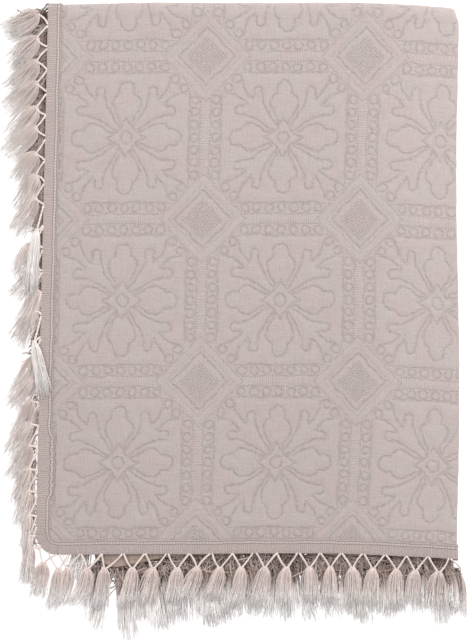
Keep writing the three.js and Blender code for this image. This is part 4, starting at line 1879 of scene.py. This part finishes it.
    def painted_shade_yarn(self, random: np.random.Generator) -> Shell:
        """Builds the yarn behind the cords, most of it coloured dark as painted shade.

        Args:
            random: The source of places, ways and lengths.

        Returns:
            Short curly strands, most of them coloured deep as painted shade, which start near the tape and
            lean out and to the foot. Some of the covered ones lie across the others and are longer.
        """
        loose = self.loose
        along = random.uniform(2.0, self.run - 8.0, int(self.run * loose.per_length))
        place, out = self.on_edge(along)
        kept = self.keeps_shade_yarn(place, out, random)
        along, place, out = along[kept], place[kept], out[kept]
        each = (len(place), 1)
        front, beside = self.seen(place)[:, None], self.sideways(out)[:, None]
        down = self.folding.share_down(place[:, 1])[:, None]
        _, slant, _, near = (values[:, None] for values in self.combed_at(place))
        scatter = random.normal(0.0, np.where(beside > 0.5, *loose.scatter))
        across = (random.uniform(0, 1, each) < loose.crossing_share) & ~front
        crossing = across * random.choice([-loose.crossing_slant, loose.crossing_slant], each)
        turn = np.radians(slant * beside + scatter + crossing)
        towards = -quarter_turned(out)
        foot = np.where(place[:, 1:] < self.folding.top_t, -1.0, 1.0)
        towards *= np.where(towards[:, 1:] * foot < 0, -1.0, 1.0)
        way = out * np.cos(turn) + towards * np.sin(turn)
        reach = np.where(~front, *loose.reach) * blend(1.0, near, beside)
        low = np.where(front & (down > random.uniform(0.66, 0.80, each)), 4.0, 0.8)
        start = place + out * (low + reach * random.uniform(0.0, 1.0, each) ** 1.5)
        share = np.linspace(0.0, 1.0, loose.steps)[None, :]
        length = random.uniform(loose.shortest, np.where(~front, *loose.longest), each)
        run = share * length * np.where(across, loose.crossing_longer, 1.0)
        curl = random.normal(0, loose.curl, each) * np.sin(share * random.uniform(2.0, 6.0, each))
        flat = start[:, None] + way[:, None] * run[..., None]
        flat = flat + quarter_turned(way)[:, None] * curl[..., None]
        level = random.uniform(-1.0, 1.0, each) - 2.6 * front
        points = self.settled(flat, np.broadcast_to(level, run.shape))
        tone = np.broadcast_to(random.uniform(0, 1, each), run.shape)
        # Painted shade: the strands' colour goes deep, in clumps, more at the side and less outwards.
        clumps = np.sin(along / 9.0 + 2.0 * np.sin(along / 31.0))[:, None]
        middle = loose.deep + loose.deep_at_side * beside + loose.deep_in_clumps * clumps
        middle = middle - 0.34 * ramp(down * beside, 0.6, 0.8)
        deep = np.clip(random.normal(middle, loose.deep_scatter), 0.2, 1.0)
        deep = deep - np.where(~front, *loose.paler_outwards) * share
        radii = np.broadcast_to(random.uniform(loose.radius.low, loose.radius.high, each) * MM, run.shape)
        values = {"strand": tone, "paler": np.zeros(run.shape), "deep": deep}
        return tubes(points, radii, self.strand_sides, values)

    def shell(self) -> Shell:
        """Builds the whole fringe of the edge."""
        random = np.random.default_rng(self.seed)
        teeth = self.teeth(random)
        return joined([self.cords(teeth, random), self.tassels(teeth, random), self.painted_shade_yarn(random)])


@dataclass
class FringedQuilt:
    """The whole object: cloth, tape and the four fringes."""

    folding: Folding = field(default_factory=Folding)
    first_seed: int = 11

    def edges(self) -> tuple[Edge, ...]:
        """The cloth's four edges, two at the foot of the stack and two at its free side."""
        wide, long = self.folding.cloth.width, self.folding.cloth.length
        return (
            Edge(
                "fringe_foot_outer", wide, (0, 0), (1, 0), (0, 1),
                short=-8.0, lattice=21.0, strands=(130, 56), extra=(1.0,), drawn=(106.0, -11.0, 26.0),
            ),
            Edge(
                "fringe_foot_inner", wide, (0, long), (1, 0), (0, -1),
                short=-8.0, lattice=25.0, strands=(60, 60), drawn=(36.0, -10.0, 22.0),
            ),
            Edge(
                "fringe_side_front", long, (0, 0), (0, 1), (1, 0),
                short=18.0, lattice=21.0, strands=(108, 56), extra=(0.0,),
            ),
            Edge(
                "fringe_side_back", long, (wide, 0), (0, 1), (-1, 0),
                short=18.0, lattice=21.0, strands=(60, 60), longer=3.0,
            ),
        )

    def align(self) -> None:
        """Finds where the frame's origin lies, from the boxes of the cloth in the frame and here."""
        low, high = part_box("quilt")
        s, t, _, _ = QuiltCloth(self.folding).flat_grid()
        points, _ = self.folding.place(s, t, self.folding.cloth.thickness / 2)
        own_low, own_high = points.reshape(-1, 3).min(0), points.reshape(-1, 3).max(0)
        middle = (np.array(low) + np.array(high)) / 2 / MM
        self.folding.shift = middle - (own_low + own_high) / 2
        self.folding.shift[2] = 0.0
        LOG.info("frame origin at %s mm", np.round(-self.folding.shift, 2))

    def dress(self) -> None:
        self.align()
        cloth = QuiltCloth(self.folding).shell().build("quilt_cloth", QuiltedClothFinish().make())
        tape = HeadingTape(self.folding).shell().build("heading_tape_woven", RibbedTapeFinish().make())
        yarn = FringeYarnFinish().make()
        pieces = [(cloth, "quilt", "quilted_cloth"), (tape, "heading_tape", "ribbed_tape")]
        for seed, edge in enumerate(self.edges(), start=self.first_seed):
            strands = Fringe(self.folding, edge, seed).shell().build(f"{edge.name}_yarn", yarn)
            pieces.append((strands, edge.name, "fringe_yarn"))
        for piece, node, slot in pieces:
            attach(piece, ROOT)
            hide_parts(node)
            LOG.info("%s: %d faces", piece.name, len(piece.data.polygons))


@dataclass(frozen=True)
class Lamp:
    """A square soft light that hangs at a place and faces the frame's origin, in metres and watts."""

    name: str
    place: tuple[float, float, float]
    size: float
    power: float

    def hang(self) -> None:
        """Hangs the light, tilted and turned so that its beam runs through the origin."""
        lamp = bpy.data.lights.new(self.name, "AREA")
        lamp.size = self.size
        lamp.energy = self.power
        light = bpy.data.objects.new(self.name, lamp)
        light.location = self.place
        x, y, z = self.place
        light.rotation_euler = (math.atan2(math.hypot(x, y), z), 0.0, math.atan2(-y, -x) - math.pi / 2)
        bpy.context.scene.collection.objects.link(light)


@dataclass
class Studio:
    """A plain pale floor, soft light from above, and a camera that looks straight down, in metres."""

    folding: Folding
    view_height: float = 0.9946
    focus_height: float = 0.022
    lens: float = 110.0
    sensor: float = 36.0
    floor_half: float = 4.0
    floor_level: float = -0.0004
    floor_glow: float = 0.86
    sky_strength: float = 0.62
    lamps: tuple[Lamp, ...] = (
        Lamp("key_light", (1.5, 1.9, 2.4), 1.6, 74.0),
        Lamp("fill_light", (-1.6, 0.3, 2.4), 2.0, 26.0),
    )

    def floor(self) -> None:
        """Lays the floor, which glows a little so that it stays pale and even round the quilt."""
        mesh = bpy.data.meshes.new("floor")
        corners = [
            (x * self.floor_half, y * self.floor_half, self.floor_level)
            for x, y in ((-1, -1), (1, -1), (1, 1), (-1, 1))
        ]
        mesh.from_pydata(corners, [], [(0, 1, 2, 3)])
        finish = Finish("floor", roughness=0.9, sheen=0.0)
        finish.shader.inputs["Base Color"].default_value = (0.40, 0.40, 0.40, 1.0)
        finish.shader.inputs["Emission Color"].default_value = (1.0, 1.0, 1.0, 1.0)
        finish.shader.inputs["Emission Strength"].default_value = self.floor_glow
        mesh.materials.append(finish.material)
        floor = bpy.data.objects.new("floor", mesh)
        bpy.context.scene.collection.objects.link(floor)

    def sky(self) -> None:
        """Lets an even white sky fill the rest of the light."""
        world = bpy.data.worlds.new("sky")
        world.use_nodes = True
        background = world.node_tree.nodes["Background"]
        background.inputs["Color"].default_value = (1.0, 1.0, 1.0, 1.0)
        background.inputs["Strength"].default_value = self.sky_strength
        bpy.context.scene.world = world
        bpy.context.scene.view_settings.view_transform = "Standard"

    def camera(self) -> None:
        """Hangs the camera over the middle of the view, with +Y upwards in the picture."""
        data = bpy.data.cameras.new("camera")
        data.lens = self.lens
        data.sensor_width = self.sensor
        camera = bpy.data.objects.new("camera", data)
        x, y, _ = self.folding.metres(np.zeros(3))
        camera.location = (x, y, self.focus_height + self.view_height / self.sensor * self.lens)
        bpy.context.scene.collection.objects.link(camera)
        bpy.context.scene.camera = camera

    def set_up(self) -> None:
        """Builds the floor, the lights, the sky and the camera."""
        self.floor()
        for lamp in self.lamps:
            lamp.hang()
        self.sky()
        self.camera()


def main() -> None:
    """Builds the quilt and the studio."""
    logging.basicConfig(level=logging.INFO, format="%(name)s: %(message)s")
    quilt = FringedQuilt()
    quilt.dress()
    Studio(quilt.folding).set_up()


if __name__ == "__main__":
    main()
